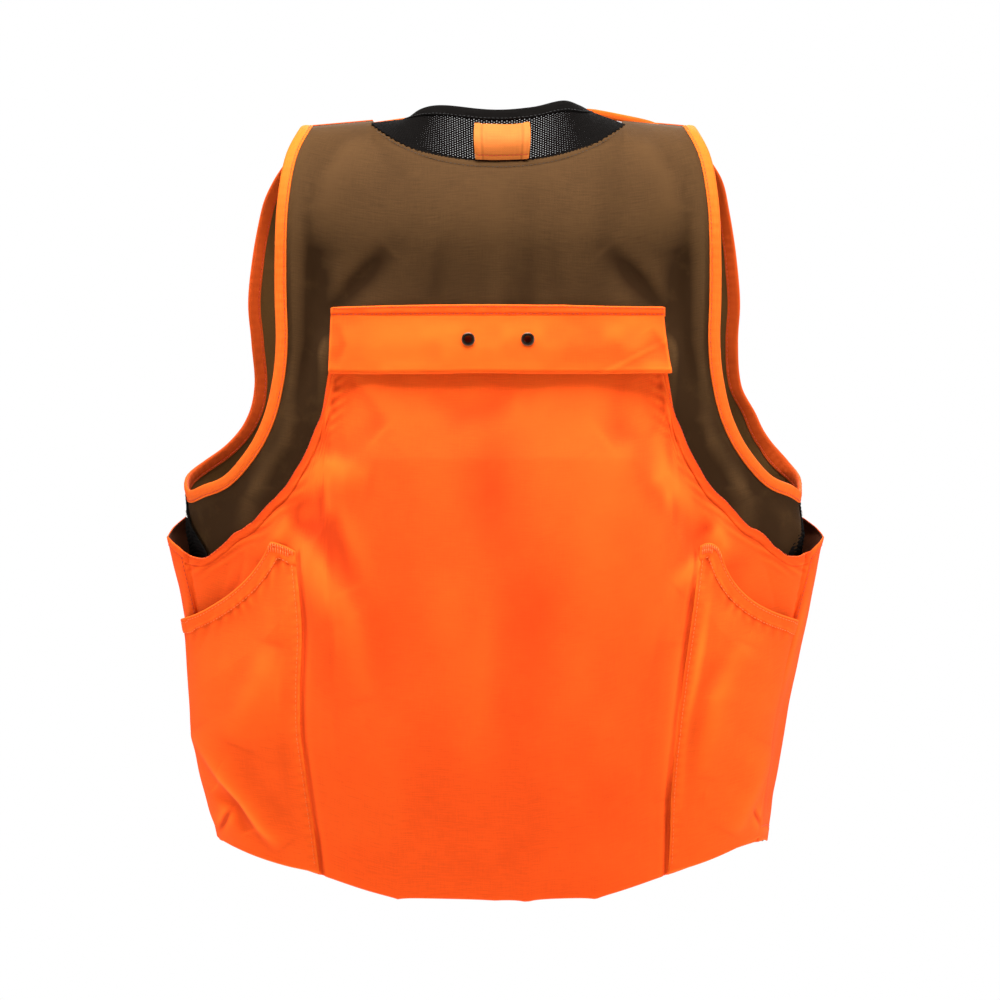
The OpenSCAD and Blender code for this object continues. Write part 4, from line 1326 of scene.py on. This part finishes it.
def make_collar():
    """Bound edge along the top of the collar's net."""
    u = np.linspace(-0.99, 0.99, 150)
    profile = [(0.79, 1.5), (0.80, 2.0), (0.84, 2.05), (0.9, 2.2), (0.96, 2.0), (1.0, 1.4), (1.01, 0.6),
               (1.0, -0.2), (0.96, -0.7), (0.9, -0.8), (0.84, -0.7), (0.80, -0.65), (0.79, -0.1)]
    wave = 0.35 * noise(u * 120, u * 0, 16, 91)
    loops = np.stack([collar_point(u, r, o + wave * math.sin(math.pi * unit((r - 0.79) / 0.22)))
                      for r, o in profile], 1)
    o = tube("collar_binding_tape", loops, black_tape)
    settle(o, "back", "black_binding", "collar_binding")
    line = collar_point(u, 0.825, 2.1)
    n = np.cross(np.gradient(line, axis=0), collar_point(u, 1.0, 2.1) - line)
    n /= np.linalg.norm(n, axis=1, keepdims=True)
    if n[75, 1] > 0:
        n = -n
    settle(stitches("collar_stitches", [(line, n)], black_thread), "back", "black_binding")


def make_neck_edge(side):
    """Orange neck edge of the front, which stands a little above the shoulder."""
    hand = SIDES[side]
    left = [(146, 2, -7.0), (132, 1.5, -4.6), (106, -0.5, -0.6), (76, -5, 3.4)]
    right = [(146, 2, -2.4), (132, 1.5, 1.4), (114, 0.5, 5.2), (96, -2, 8.6), (80, -7, 11.2)]
    points = left if hand < 0 else right
    track = resample(smooth_path([(hand * x, y, z) for x, y, z in points], 2), 2.0)
    ring = np.radians(np.arange(0, 360, 30))
    count = np.arange(len(track))
    taper = np.minimum(1, np.minimum(count, count[::-1]) / 6 + 0.3)
    section_y, section_z = 0.9 * np.cos(ring), 3.4 * np.sin(ring) - 2.4
    loops = np.stack([track[:, None, 0] + 0 * section_y, track[:, None, 1] + taper[:, None] * section_y,
                      track[:, None, 2] + taper[:, None] * section_z], -1)
    o = tube(f"front_neck_edge_{side}", loops, binding_tape)
    settle(o, "back", "orange_binding")


def make_hang_loop():
    """Folded webbing loop from the neckline to the collar's top."""
    s = np.linspace(0, 1, 60)[:, None]
    x = np.linspace(-22.5, 22.5, 50)[None] + 3.5
    face = collar_point(x / NECK_W + 0 * s, mix(-0.02, 0.70, s), 3.0 + 7.0 * np.sin(np.pi * s) + 0 * x)
    from_middle = np.abs(x - 3.5)
    r = 0.5 * noise(x, s * 40, 16, 95) + 0.5 * ease((from_middle - 17) / 2)
    r += -0.4 * bell(from_middle - 16.5, 0.8) - 0.5 * bell(s * 45 - 4.5, 0.9)
    o, outer, n = cloth("hang_loop_webbing", face, 1.5, webbing, r)
    settle(o, "back", "orange_webbing", "hang_loop")
    rows = [on_grid(outer, n, 6.0, np.linspace(2, 47, 40), 0.15)]
    settle(stitches("hang_loop_stitches", rows, orange_thread), "back", "orange_webbing")


# ---- fronts ----

front_rows = np.concatenate([np.linspace(FRONT_HEM, -342, 106), np.linspace(-340, -300, 30),
                             np.linspace(-298, -0.4, 110)])


def front_turns(z):
    """Turns of the front's armhole or side edge, and of its zip or neck edge."""
    outer = 180 - edge_turn(ARMHOLE_FRONT, z, FRONT_SIDE, -325)
    return outer, 180 - turn_at(front_edge(z), body_half(z))


def front_relief(x, z, t, hand):
    """Soft drape of a front, level beside its armhole, its zip edge and its shoulder."""
    r = 1.6 * noise(np.abs(x), z * 0.5, 80, 101 + hand) + 0.5 * noise(x, z, 28, 102)
    r += folds(np.abs(x), z, [
        ([(150, -60), (165, -160), (190, -250)], 18, 2.2, 0.2),
        ([(60, -190), (75, -260), (70, -330)], 22, 1.6),
    ])
    to_edge, _ = to_path(np.abs(x), z + 0 * x, ARMHOLE_FRONT)
    return r * ease((np.abs(to_edge) - 13) / 18) * ease((1 - t) * 12) * ease((-z - 6) / 30)


def make_front_panel(side):
    """Brown front, and the orange shoulder piece on it."""
    hand = SIDES[side]
    z = front_rows[:, None]
    t = np.linspace(0, 1, 112)[None]
    low, high = front_turns(z)
    middle = 180 - np.minimum(0.9 * (180 - low), INNER_TURN)
    turn = np.where(t < 0.22, mix(low, middle, t / 0.22), mix(middle, high, (t - 0.22) / 0.78))
    x, _ = section(turn, body_half(z), 1)
    face = on_body(hand * turn, z, CLOTH_T)
    hidden = ease((z + 352) / 20)
    r = front_relief(x, z, t, hand) * hidden
    # a shoulder seam a little below the armhole's widest part
    r += -0.4 * bell(z + 131, 1.6) * ease((z + 200) / 20)
    o, _, _ = cloth(f"front_panel_cloth_{side}", face, CLOTH_T, brown_cloth, r)
    swing(o, side, "brown_cloth", f"front_panel_{side}")

    z = np.linspace(-142, -0.4, 72)[:, None]
    low, high = front_turns(z)
    turn = mix(low, high, t)
    x, _ = section(turn, body_half(z), 1)
    r2 = front_relief(x, z, t, hand) + 0.3
    face = on_body(hand * turn, z, CLOTH_T + 1.5)
    from_foot = z + 142
    r2 = r2 + 0.35 * ease((7 - from_foot) / 2) - 0.35 * bell(from_foot - 6.5, 0.9)
    o, outer, n = cloth(f"front_yoke_cloth_{side}", face, 1.2, bag_cloth, r2)
    swing(o, side, "orange_cloth", f"front_yoke_{side}")
    rows = [on_grid(outer, n, 71 * 6.5 / 141.6, np.linspace(1, 110, 140), 0.1),
            on_grid(outer, n, np.linspace(2, 69, 90), 111 - 6.0, 0.1)]
    swing(stitches(f"front_yoke_stitches_{side}", rows, orange_thread), side, "orange_cloth")


def lower_relief(x, z, turn, top, hand):
    """Drape of the lower front, nearly flat where its pocket lies."""
    ax = np.abs(x)
    r = 2.0 * noise(x, z * 0.6, 75, 111 + hand) + 0.7 * noise(x, z, 33, 112)
    r += folds(ax, z, [
        ([(50, -370), (58, -460), (44, -600)], 16, 2.4, 0.3),
        ([(235, -400), (224, -470), (238, -560)], 15, 2.2, -0.3),
    ])
    flat = (1 - 0.85 * ease((turn - 95) / 10) * ease((ax - 30) / 25) * ease((238 - ax) / 25)
            * ease((-405 - z) / 25) * ease((z + 640) / 30))
    return r * flat * ease((top - z) / 26) * ease((z - FRONT_HEM - 4) / 40)


def make_front_lower(side):
    """Orange lower front, from the seam behind the side line to the zip."""
    hand = SIDES[side]
    # columns run evenly along the section, so that its bend at the side stays fine
    end = 180 - turn_at(ZIP_EDGE + 1, RIM_HALF)
    probe = np.linspace(SEAM_TURN, end, 400)
    px, py = section(probe, 270.0, 110.0)
    run = run_along(np.stack([px, py], 1))
    turn = np.interp(np.linspace(0, run[-1], 150), run, probe)[None]
    steps = np.linspace(0, 1, 130)[:, None]
    x_top, _ = section(turn, RIM_HALF, 1)
    x_foot, _ = section(turn, outer_half(-650), 1)
    over = ease((turn - 86) / 8)
    rim = mix(bag_line(x_top), lower_line(x_top), over)
    wave = 0.9 * noise(x_top, turn * 2, 19, 114) * unit((x_top - 200) / 30)
    foot = mix(hem_line(x_foot), FRONT_HEM, over)
    z = mix(foot, rim + wave, steps)
    face = on_outer(hand * turn, z, BAG_T)
    x = face[..., 0]
    top = rim + wave
    d = top - z
    r = lower_relief(x, z, turn, top, hand)
    r = r * ease((turn - SEAM_TURN) / 6)
    r += 0.4 * ease((7.6 - d) / 1.5) - 0.35 * bell(d - BAG_HEM_W, 1.0)
    up = z - foot
    r += 0.4 * ease((13.5 - up) / 1.5) - 0.35 * bell(up - 13, 1.0)
    pucker = np.sin(2 * np.pi * x / 11 + 2 * noise(x, z, 30, 115))
    r += 0.16 * pucker * (bell(d - 10, 6) + bell(up - 16, 6))
    # painted shade in a narrow strip beside the seam, low down where the side pocket's edge meets it, and
    # the cloth sinks a little there; the noise is random tone
    beside = ease((SEAM_TURN + 2.2 - turn) / 1.2) * ease((-z - 440) / 20)
    tone = 0.10 * noise(x, z * 1.2, 90, 116) - 0.8 * beside
    o, outer, n = cloth(f"front_lower_cloth_{side}", face, BAG_T, bag_cloth, r - 0.6 * beside, tone=tone)
    swing(o, side, "orange_cloth", f"front_lower_panel_{side}")
    rows = [level_line(outer, n, BAG_HEM_W - d, 0.05), level_line(outer, n, up - 13, 0.05),
            on_grid(outer, n, np.linspace(3, 126, 120), 1.5, 0.05)]
    swing(stitches(f"front_lower_stitches_{side}", rows, orange_thread), side, "orange_cloth")


SHELL_X = 130
SHELL_W = 150
SHELL_D = 30
SHELL_TOP = -450
SHELL_FOOT = -597
LEAN = math.radians(-7.9)
HINGE_Z = -438
FLAP_LEG = SHELL_D + 2


def lower_y(x, z):
    """How far forward the lower front's face is."""
    turn = 180 - turn_at(np.abs(x), outer_half(z))
    return on_outer(turn, z, BAG_T)[..., 1]


def make_shell_pocket(side):
    """Bellows pocket: a soft tray of cloth with a hemmed open top."""
    hand = SIDES[side]
    half = SHELL_W / 2
    base = float(lower_y(np.array(SHELL_X), np.array(-520.0)))
    across = np.radians(np.linspace(-90, 90, 90))
    # rounded box section across, and the same rounding at its foot
    ux = np.sign(across) * np.abs(np.sin(across)) ** 0.22
    hx = np.abs(np.cos(across)) ** 0.22
    foot = np.radians(np.linspace(0, 90, 24))
    zz = np.concatenate([SHELL_FOOT + 12 * (1 - np.cos(foot) ** 0.4),
                         np.linspace(SHELL_FOOT + 14, SHELL_TOP, 64)])
    hz = np.concatenate([np.sin(foot) ** 0.4, np.ones(64)])
    x = SHELL_X + half * ux[None] + 0 * zz[:, None]
    z = zz[:, None] + 0 * x
    wall = base + SHELL_D + math.tan(LEAN) * (x - SHELL_X)
    # at the foot and the sides the tray meets the lower front
    ground = lower_y(x, z) + 0.4 + BAG_T
    y = mix(ground, wall, hx[None] * hz[:, None])
    face = np.stack([hand * x, y, z], -1)
    inside = ease((1 - np.abs(ux[None])) * 6) * ease((z - SHELL_FOOT - 8) / 30)
    d = SHELL_TOP - z
    r = 0.7 * noise(x, z, 60, 121 + hand) + fold(x, z, [(84, -468), (98, -520), (92, -585)], 14, 0.7, 0.3)
    r = r * inside * ease(d / 20)
    r += 0.45 * ease((12 - d) / 1.5) - 0.35 * bell(d - 11.3, 1.0)
    o, outer, n = cloth(f"shell_pocket_cloth_{side}", face, BAG_T, painted_lit_cloth, r)
    settle(o, f"front_{side}", "orange_pocket_cloth", f"shell_pocket_{side}")
    rows = [level_line(outer, n, at - d, 0.05, np.arange(14, 76)) for at in (11.3, 2.4)]
    sewn = stitches(f"shell_pocket_stitches_{side}", rows, pale_thread)
    settle(sewn, f"front_{side}", "orange_pocket_cloth")


def pocket_frame(side, points):
    """Points from a shell pocket's own frame: x across, y out of the pocket and z up from the
    flap's hinge line."""
    hand = SIDES[side]
    base = float(lower_y(np.array(SHELL_X), np.array(-520.0))) + 2
    c, s = math.cos(LEAN), math.sin(LEAN)
    x, y, z = points[..., 0], points[..., 1], points[..., 2]
    return np.stack([hand * (SHELL_X + c * x - s * y), base + s * x + c * y, HINGE_Z + z], -1)


def make_pocket_flap(side):
    """Flap of a shell pocket: out from its hinge line, then down over the pocket's mouth."""
    half = SHELL_W / 2 + 3
    leg = FLAP_LEG
    profile = smooth_path([(0.4, -0.2, 0), (leg * 0.55, -0.7, 0), (leg - 3, -1.4, 0), (leg + 0.9, -4.2, 0),
                           (leg + 1.7, -10, 0), (leg + 1.6, -30, 0), (leg + 1.5, -55, 0)], 1.6)
    profile = resample(profile, 1.5)
    run = run_along(profile)
    u = np.linspace(-1, 1, 106)[None]
    down = run[:, None] / run[-1]
    corner = 7 * np.clip((np.abs(u) - 0.86) / 0.14, 0, 1) ** 2 * ease((down - 0.75) / 0.25)
    x = u * half
    y = profile[:, 0][:, None] + 0 * u
    z = profile[:, 1][:, None] + corner
    local = np.stack([x + 0 * y, y, z], -1)
    face = pocket_frame(side, local)
    if SIDES[side] < 0:
        face = face[:, ::-1]
    r = 0.5 * noise(x + 0 * y, run[:, None] + 0 * x, 34, 131) * ease(down * 5)
    edge = np.minimum((1 - np.abs(u)) * half, (1 - down) * run[-1])
    r = r + 0.3 * ease((6.5 - edge) / 1.5) - 0.35 * bell(edge - 6, 0.9)
    r = r * ease(down * 8)
    o, outer, n = cloth(f"pocket_flap_cloth_{side}", face, 1.7, painted_lit_cloth, r)
    settle(o, f"pocket_flap_{side}", "orange_pocket_cloth", f"pocket_flap_{side}")
    last = len(run) - 1
    inset_c = 6 / half / 2 * 105
    inset_r = last * (1 - 6 / run[-1])
    rows_down = np.linspace(last * 0.3, inset_r, 40)
    rows = [on_grid(outer, n, rows_down, inset_c, 0.1),
            on_grid(outer, n, rows_down, 105 - inset_c, 0.1),
            on_grid(outer, n, inset_r, np.linspace(inset_c, 105 - inset_c, 90), 0.1)]
    sewn = stitches(f"pocket_flap_stitches_{side}", rows, pale_thread)
    settle(sewn, f"pocket_flap_{side}", "orange_pocket_cloth")
    make_snap(side)


def lathe(name, profile, place, material, segments=64):
    """Round piece: profile is (radius, height) from its middle out, and place maps its local
    points (x, y up its axis, z) to the vest."""
    angles = np.linspace(0, 2 * np.pi, segments, endpoint=False)
    r = np.array([p[0] for p in profile])[:, None]
    h = np.array([p[1] for p in profile])[:, None] + 0 * angles[None]
    local = np.stack([r * np.cos(angles)[None], h, r * np.sin(angles)[None]], -1)
    return tube(name, place(local), material)


SNAP_Z = -42
SNAP_CAP = [(0.2, 2.5), (2.2, 2.45), (4.4, 2.1), (5.6, 1.6), (6.2, 1.5), (6.8, 1.3), (7.0, 0.7),
            (6.8, 0.2), (5.2, 0.05), (5.0, -1.2), (4.8, -3.0), (2.2, -3.0), (2.0, -1.6), (0.2, -1.6)]
SNAP_STUD = [(0.2, 1.5), (1.5, 1.45), (1.9, 1.0), (1.7, 0.4), (4.0, 0.3), (4.5, 0.0), (4.4, -0.5),
             (0.2, -0.6)]


def make_snap(side):
    """Domed snap cap on the flap and its stud on the pocket."""
    for kind, profile, out, body in (("cap", SNAP_CAP, FLAP_LEG + 1.6, f"pocket_flap_{side}"),
                                     ("stud", SNAP_STUD, SHELL_D - 1.5, f"front_{side}")):
        shift = np.array([0, out, SNAP_Z])
        o = lathe(f"snap_{kind}_{side}", profile, lambda p: pocket_frame(side, p + shift), antique)
        settle(o, body, "antique_metal", f"pocket_snap_{kind}_{side}")


# ---- zip ----

def make_zip(side):
    """One half of the zip: its tape, its teeth and its top stop."""
    hand = SIDES[side]
    low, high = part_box(f"zipper_tape_{side}")
    z = np.linspace(low.z, high.z, 240)[:, None] / MM
    near, far = sorted((abs(low.x), abs(high.x)))
    x = np.linspace(near / MM - 4.2, far / MM, 20)[None]
    y = high.y / MM + 0.3 - 0.8 * ease((near / MM + 3 - x) / 2.5) + 0 * z
    face = np.stack([hand * x + 0 * z, y, z + 0 * x], -1)
    rib = 0.18 * np.sin(2 * np.pi * x / 2.4) + 0.12 * noise(z, x, 9, 141)
    if hand < 0:
        face, rib = face[:, ::-1], rib[:, ::-1]
    o, outer, n = cloth(f"zip_tape_cloth_{side}", face, 0.8, zip_tape_cloth, rib)
    settle(o, f"front_{side}", "orange_zip", f"zipper_tape_{side}")
    col = 15.0 if hand > 0 else 4.0
    row = on_grid(outer, n, np.linspace(2, 237, 300), col, 0.1)
    settle(stitches(f"zip_tape_stitches_{side}", [row], orange_thread), f"front_{side}", "orange_zip")
    # moulded teeth: a head that locks between its neighbours, and a foot on the tape
    low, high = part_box(f"zipper_chain_{side}")
    pitch = 3.0
    shift = 0 if hand < 0 else pitch / 2
    levels = np.arange(low.z / MM + 1.4 + shift, high.z / MM - 1, pitch)
    plan = np.array([(-3.8, 0.45), (-2.6, 0.68), (-1.6, 0.42), (1.6, 0.5), (3.5, 0.8), (3.9, 0.5),
                     (3.9, -0.5), (3.5, -0.8), (1.6, -0.5), (-1.6, -0.42), (-2.6, -0.68), (-3.8, -0.45)])
    y0, y1 = low.y / MM, high.y / MM
    layers = [(y0, 0.82), (y0 + 0.3, 1.0), (y1 - 0.3, 1.0), (y1, 0.82)]
    x0 = min(abs(low.x), abs(high.x)) / MM
    verts, faces, base = [], [], 0
    k = len(plan)
    middle = plan.mean(0)
    for level in levels:
        for y, scale in layers:
            p = middle + (plan - middle) * scale
            verts.append(np.stack([hand * (x0 + p[:, 0]), np.full(k, y), level + p[:, 1]], 1))
        i = np.arange(k)
        j = (i + 1) % k
        for layer in range(len(layers) - 1):
            a = base + layer * k
            faces.append(np.stack([a + i, a + j, a + k + j, a + k + i], 1))
        a = base + (len(layers) - 1) * k
        fan = np.array([[0, 1, 10, 11], [1, 2, 9, 10], [2, 3, 8, 9], [3, 4, 7, 8], [4, 5, 6, 7]])
        faces.append(fan[:, ::-1] + base)
        faces.append(fan + a)
        base += len(layers) * k
    faces = np.concatenate(faces)
    if hand > 0:
        faces = faces[:, ::-1]
    verts = np.concatenate(verts)
    o = make_object(f"zip_teeth_{side}", verts, faces, verts * MM, zip_plastic, smooth=False)
    settle(o, f"front_{side}", "orange_zip", f"zipper_chain_{side}")
    dress(f"zip_top_stops_{side}", antique, 0.6)


def make_ring_tab():
    """Webbing folded round the D-ring's bar."""
    low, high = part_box("d_ring")
    ring_x = (low.x + high.x) / 2 / MM
    ring_z = high.z / MM - 1.8
    ring_y = 104.223       # the ring's straight bar
    turn = math.radians(-9)
    front = smooth_path([(-3.2, 26, 0), (-3.2, 12, 0), (-3.1, 2, 0), (-2.2, -2.6, 0), (0, -3.6, 0),
                         (2.4, -2.6, 0), (3.3, 0.5, 0), (2.2, 6, 0), (-0.6, 12, 0), (-1.7, 18, 0),
                         (-1.8, 25.6, 0)], 1.2)
    w = np.linspace(-9, 9, 26)[None]
    y = front[:, 0][:, None] + 0 * w
    z = front[:, 1][:, None] + 0 * w
    x = w + 0 * y
    face = np.stack([ring_x + x * math.cos(turn) - y * math.sin(turn),
                     ring_y + x * math.sin(turn) + y * math.cos(turn), ring_z + z], -1)
    edge = 9 - np.abs(w)
    r = 0.12 * np.sin(2 * np.pi * w / 1.9) + 0.15 * ease((2 - edge) / 1) + 0 * y
    o, outer, n = cloth("d_ring_webbing", face, 1.1, tab_webbing, r)
    settle(o, "front_right", "orange_webbing", "d_ring_tab")
    last = face.shape[0] - 1
    rows = [on_grid(outer, n, last - inset, np.linspace(2, 23, 20), 0.4) for inset in (3.0, 9.0)]
    settle(stitches("d_ring_webbing_stitches", rows, orange_thread), "front_right", "orange_webbing")


# ---- build ----

make_back_panel()
for which in SIDES:
    make_armhole(which)
make_game_bag()
tacks = [make_side_pocket(which) for which in SIDES]
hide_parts("pocket_bartacks")
make_liner()
for which in SIDES:
    make_elastic(which)
make_flap_band()
make_flap()
make_fasteners()
make_net()
make_collar()
make_hang_loop()
for which in SIDES:
    make_neck_edge(which)
    make_front_panel(which)
    make_front_lower(which)
    make_shell_pocket(which)
    make_pocket_flap(which)
    make_zip(which)
make_ring_tab()
for metal_node, softness in (("zip_retaining_box", 0.8), ("zip_pin_box", 0.8), ("zip_slider", 0.35),
                             ("zip_pull", 0.4), ("d_ring", 0.0)):
    dress(metal_node, antique, softness)

# ---- studio ----

low, high = CAD_BOX
FLOOR_DROP = 0.40
FLOOR_Z = low.z - FLOOR_DROP
FLOOR_RADIUS = 2.4


def make_floor():
    """Round pale floor."""
    ring = np.radians(np.arange(0, 360, 3))
    rim = [(FLOOR_RADIUS * math.cos(a), FLOOR_RADIUS * math.sin(a), FLOOR_Z) for a in ring]
    verts = np.array([(0, 0, FLOOR_Z)] + rim) / MM
    i = np.arange(len(ring))
    faces = np.stack([0 * i, i + 1, (i + 1) % len(ring) + 1], 1)
    make_object("floor", verts, faces, verts * MM, plain_pale("pale"))


def area_light(name, place, size, watts, aim):
    data = bpy.data.lights.new(name, "AREA")
    data.shape, data.size, data.size_y, data.energy = "RECTANGLE", size[0], size[1], watts
    o = bpy.data.objects.new(name, data)
    o.location = place
    o.rotation_euler = (Vector(aim) - Vector(place)).to_track_quat("-Z", "Y").to_euler()
    bpy.context.scene.collection.objects.link(o)


make_floor()
centre = (low + high) / 2
area_light("top", (-0.1, -0.65, 1.9), (2.0, 0.9), 150, (0, -0.05, -0.3))
area_light("left", (-2.8, -0.8, -0.1), (1.0, 1.8), 34, centre)
area_light("right", (2.8, -0.8, -0.1), (1.0, 1.8), 56, centre)
area_light("front", (0.6, 2.4, 1.2), (2.0, 1.4), 60, centre)


def make_world():
    """Weak even light from all round, with white behind the vest."""
    world = bpy.data.worlds.new("studio")
    world.use_nodes = True
    tree = world.node_tree
    soft = tree.nodes["Background"]
    soft.inputs["Color"].default_value = (1, 1, 1, 1)
    soft.inputs["Strength"].default_value = 0.06
    white = tree.nodes.new("ShaderNodeBackground")
    white.inputs["Strength"].default_value = 1.0
    white.inputs["Color"].default_value = (1, 1, 1, 1)
    choice = tree.nodes.new("ShaderNodeMixShader")
    tree.links.new(tree.nodes.new("ShaderNodeLightPath").outputs["Is Camera Ray"], choice.inputs[0])
    tree.links.new(soft.outputs[0], choice.inputs[1])
    tree.links.new(white.outputs[0], choice.inputs[2])
    tree.links.new(choice.outputs[0], tree.nodes["World Output"].inputs["Surface"])
    bpy.context.scene.world = world


make_world()
bpy.context.scene.view_settings.view_transform = "Standard"

FRAME_WIDTH = 0.9          # metres across the picture
DISTANCE = 7.0
EYE_X, EYE_Z = 0.0018, -0.342
SENSOR = 36
camera = bpy.data.cameras.new("camera")
camera.sensor_width = SENSOR
camera.lens = SENSOR * DISTANCE / FRAME_WIDTH
eye = bpy.data.objects.new("camera", camera)
eye.location = (EYE_X, -DISTANCE - 0.03, EYE_Z)
eye.rotation_euler = (math.radians(90), 0, 0)
bpy.context.scene.collection.objects.link(eye)
bpy.context.scene.camera = eye
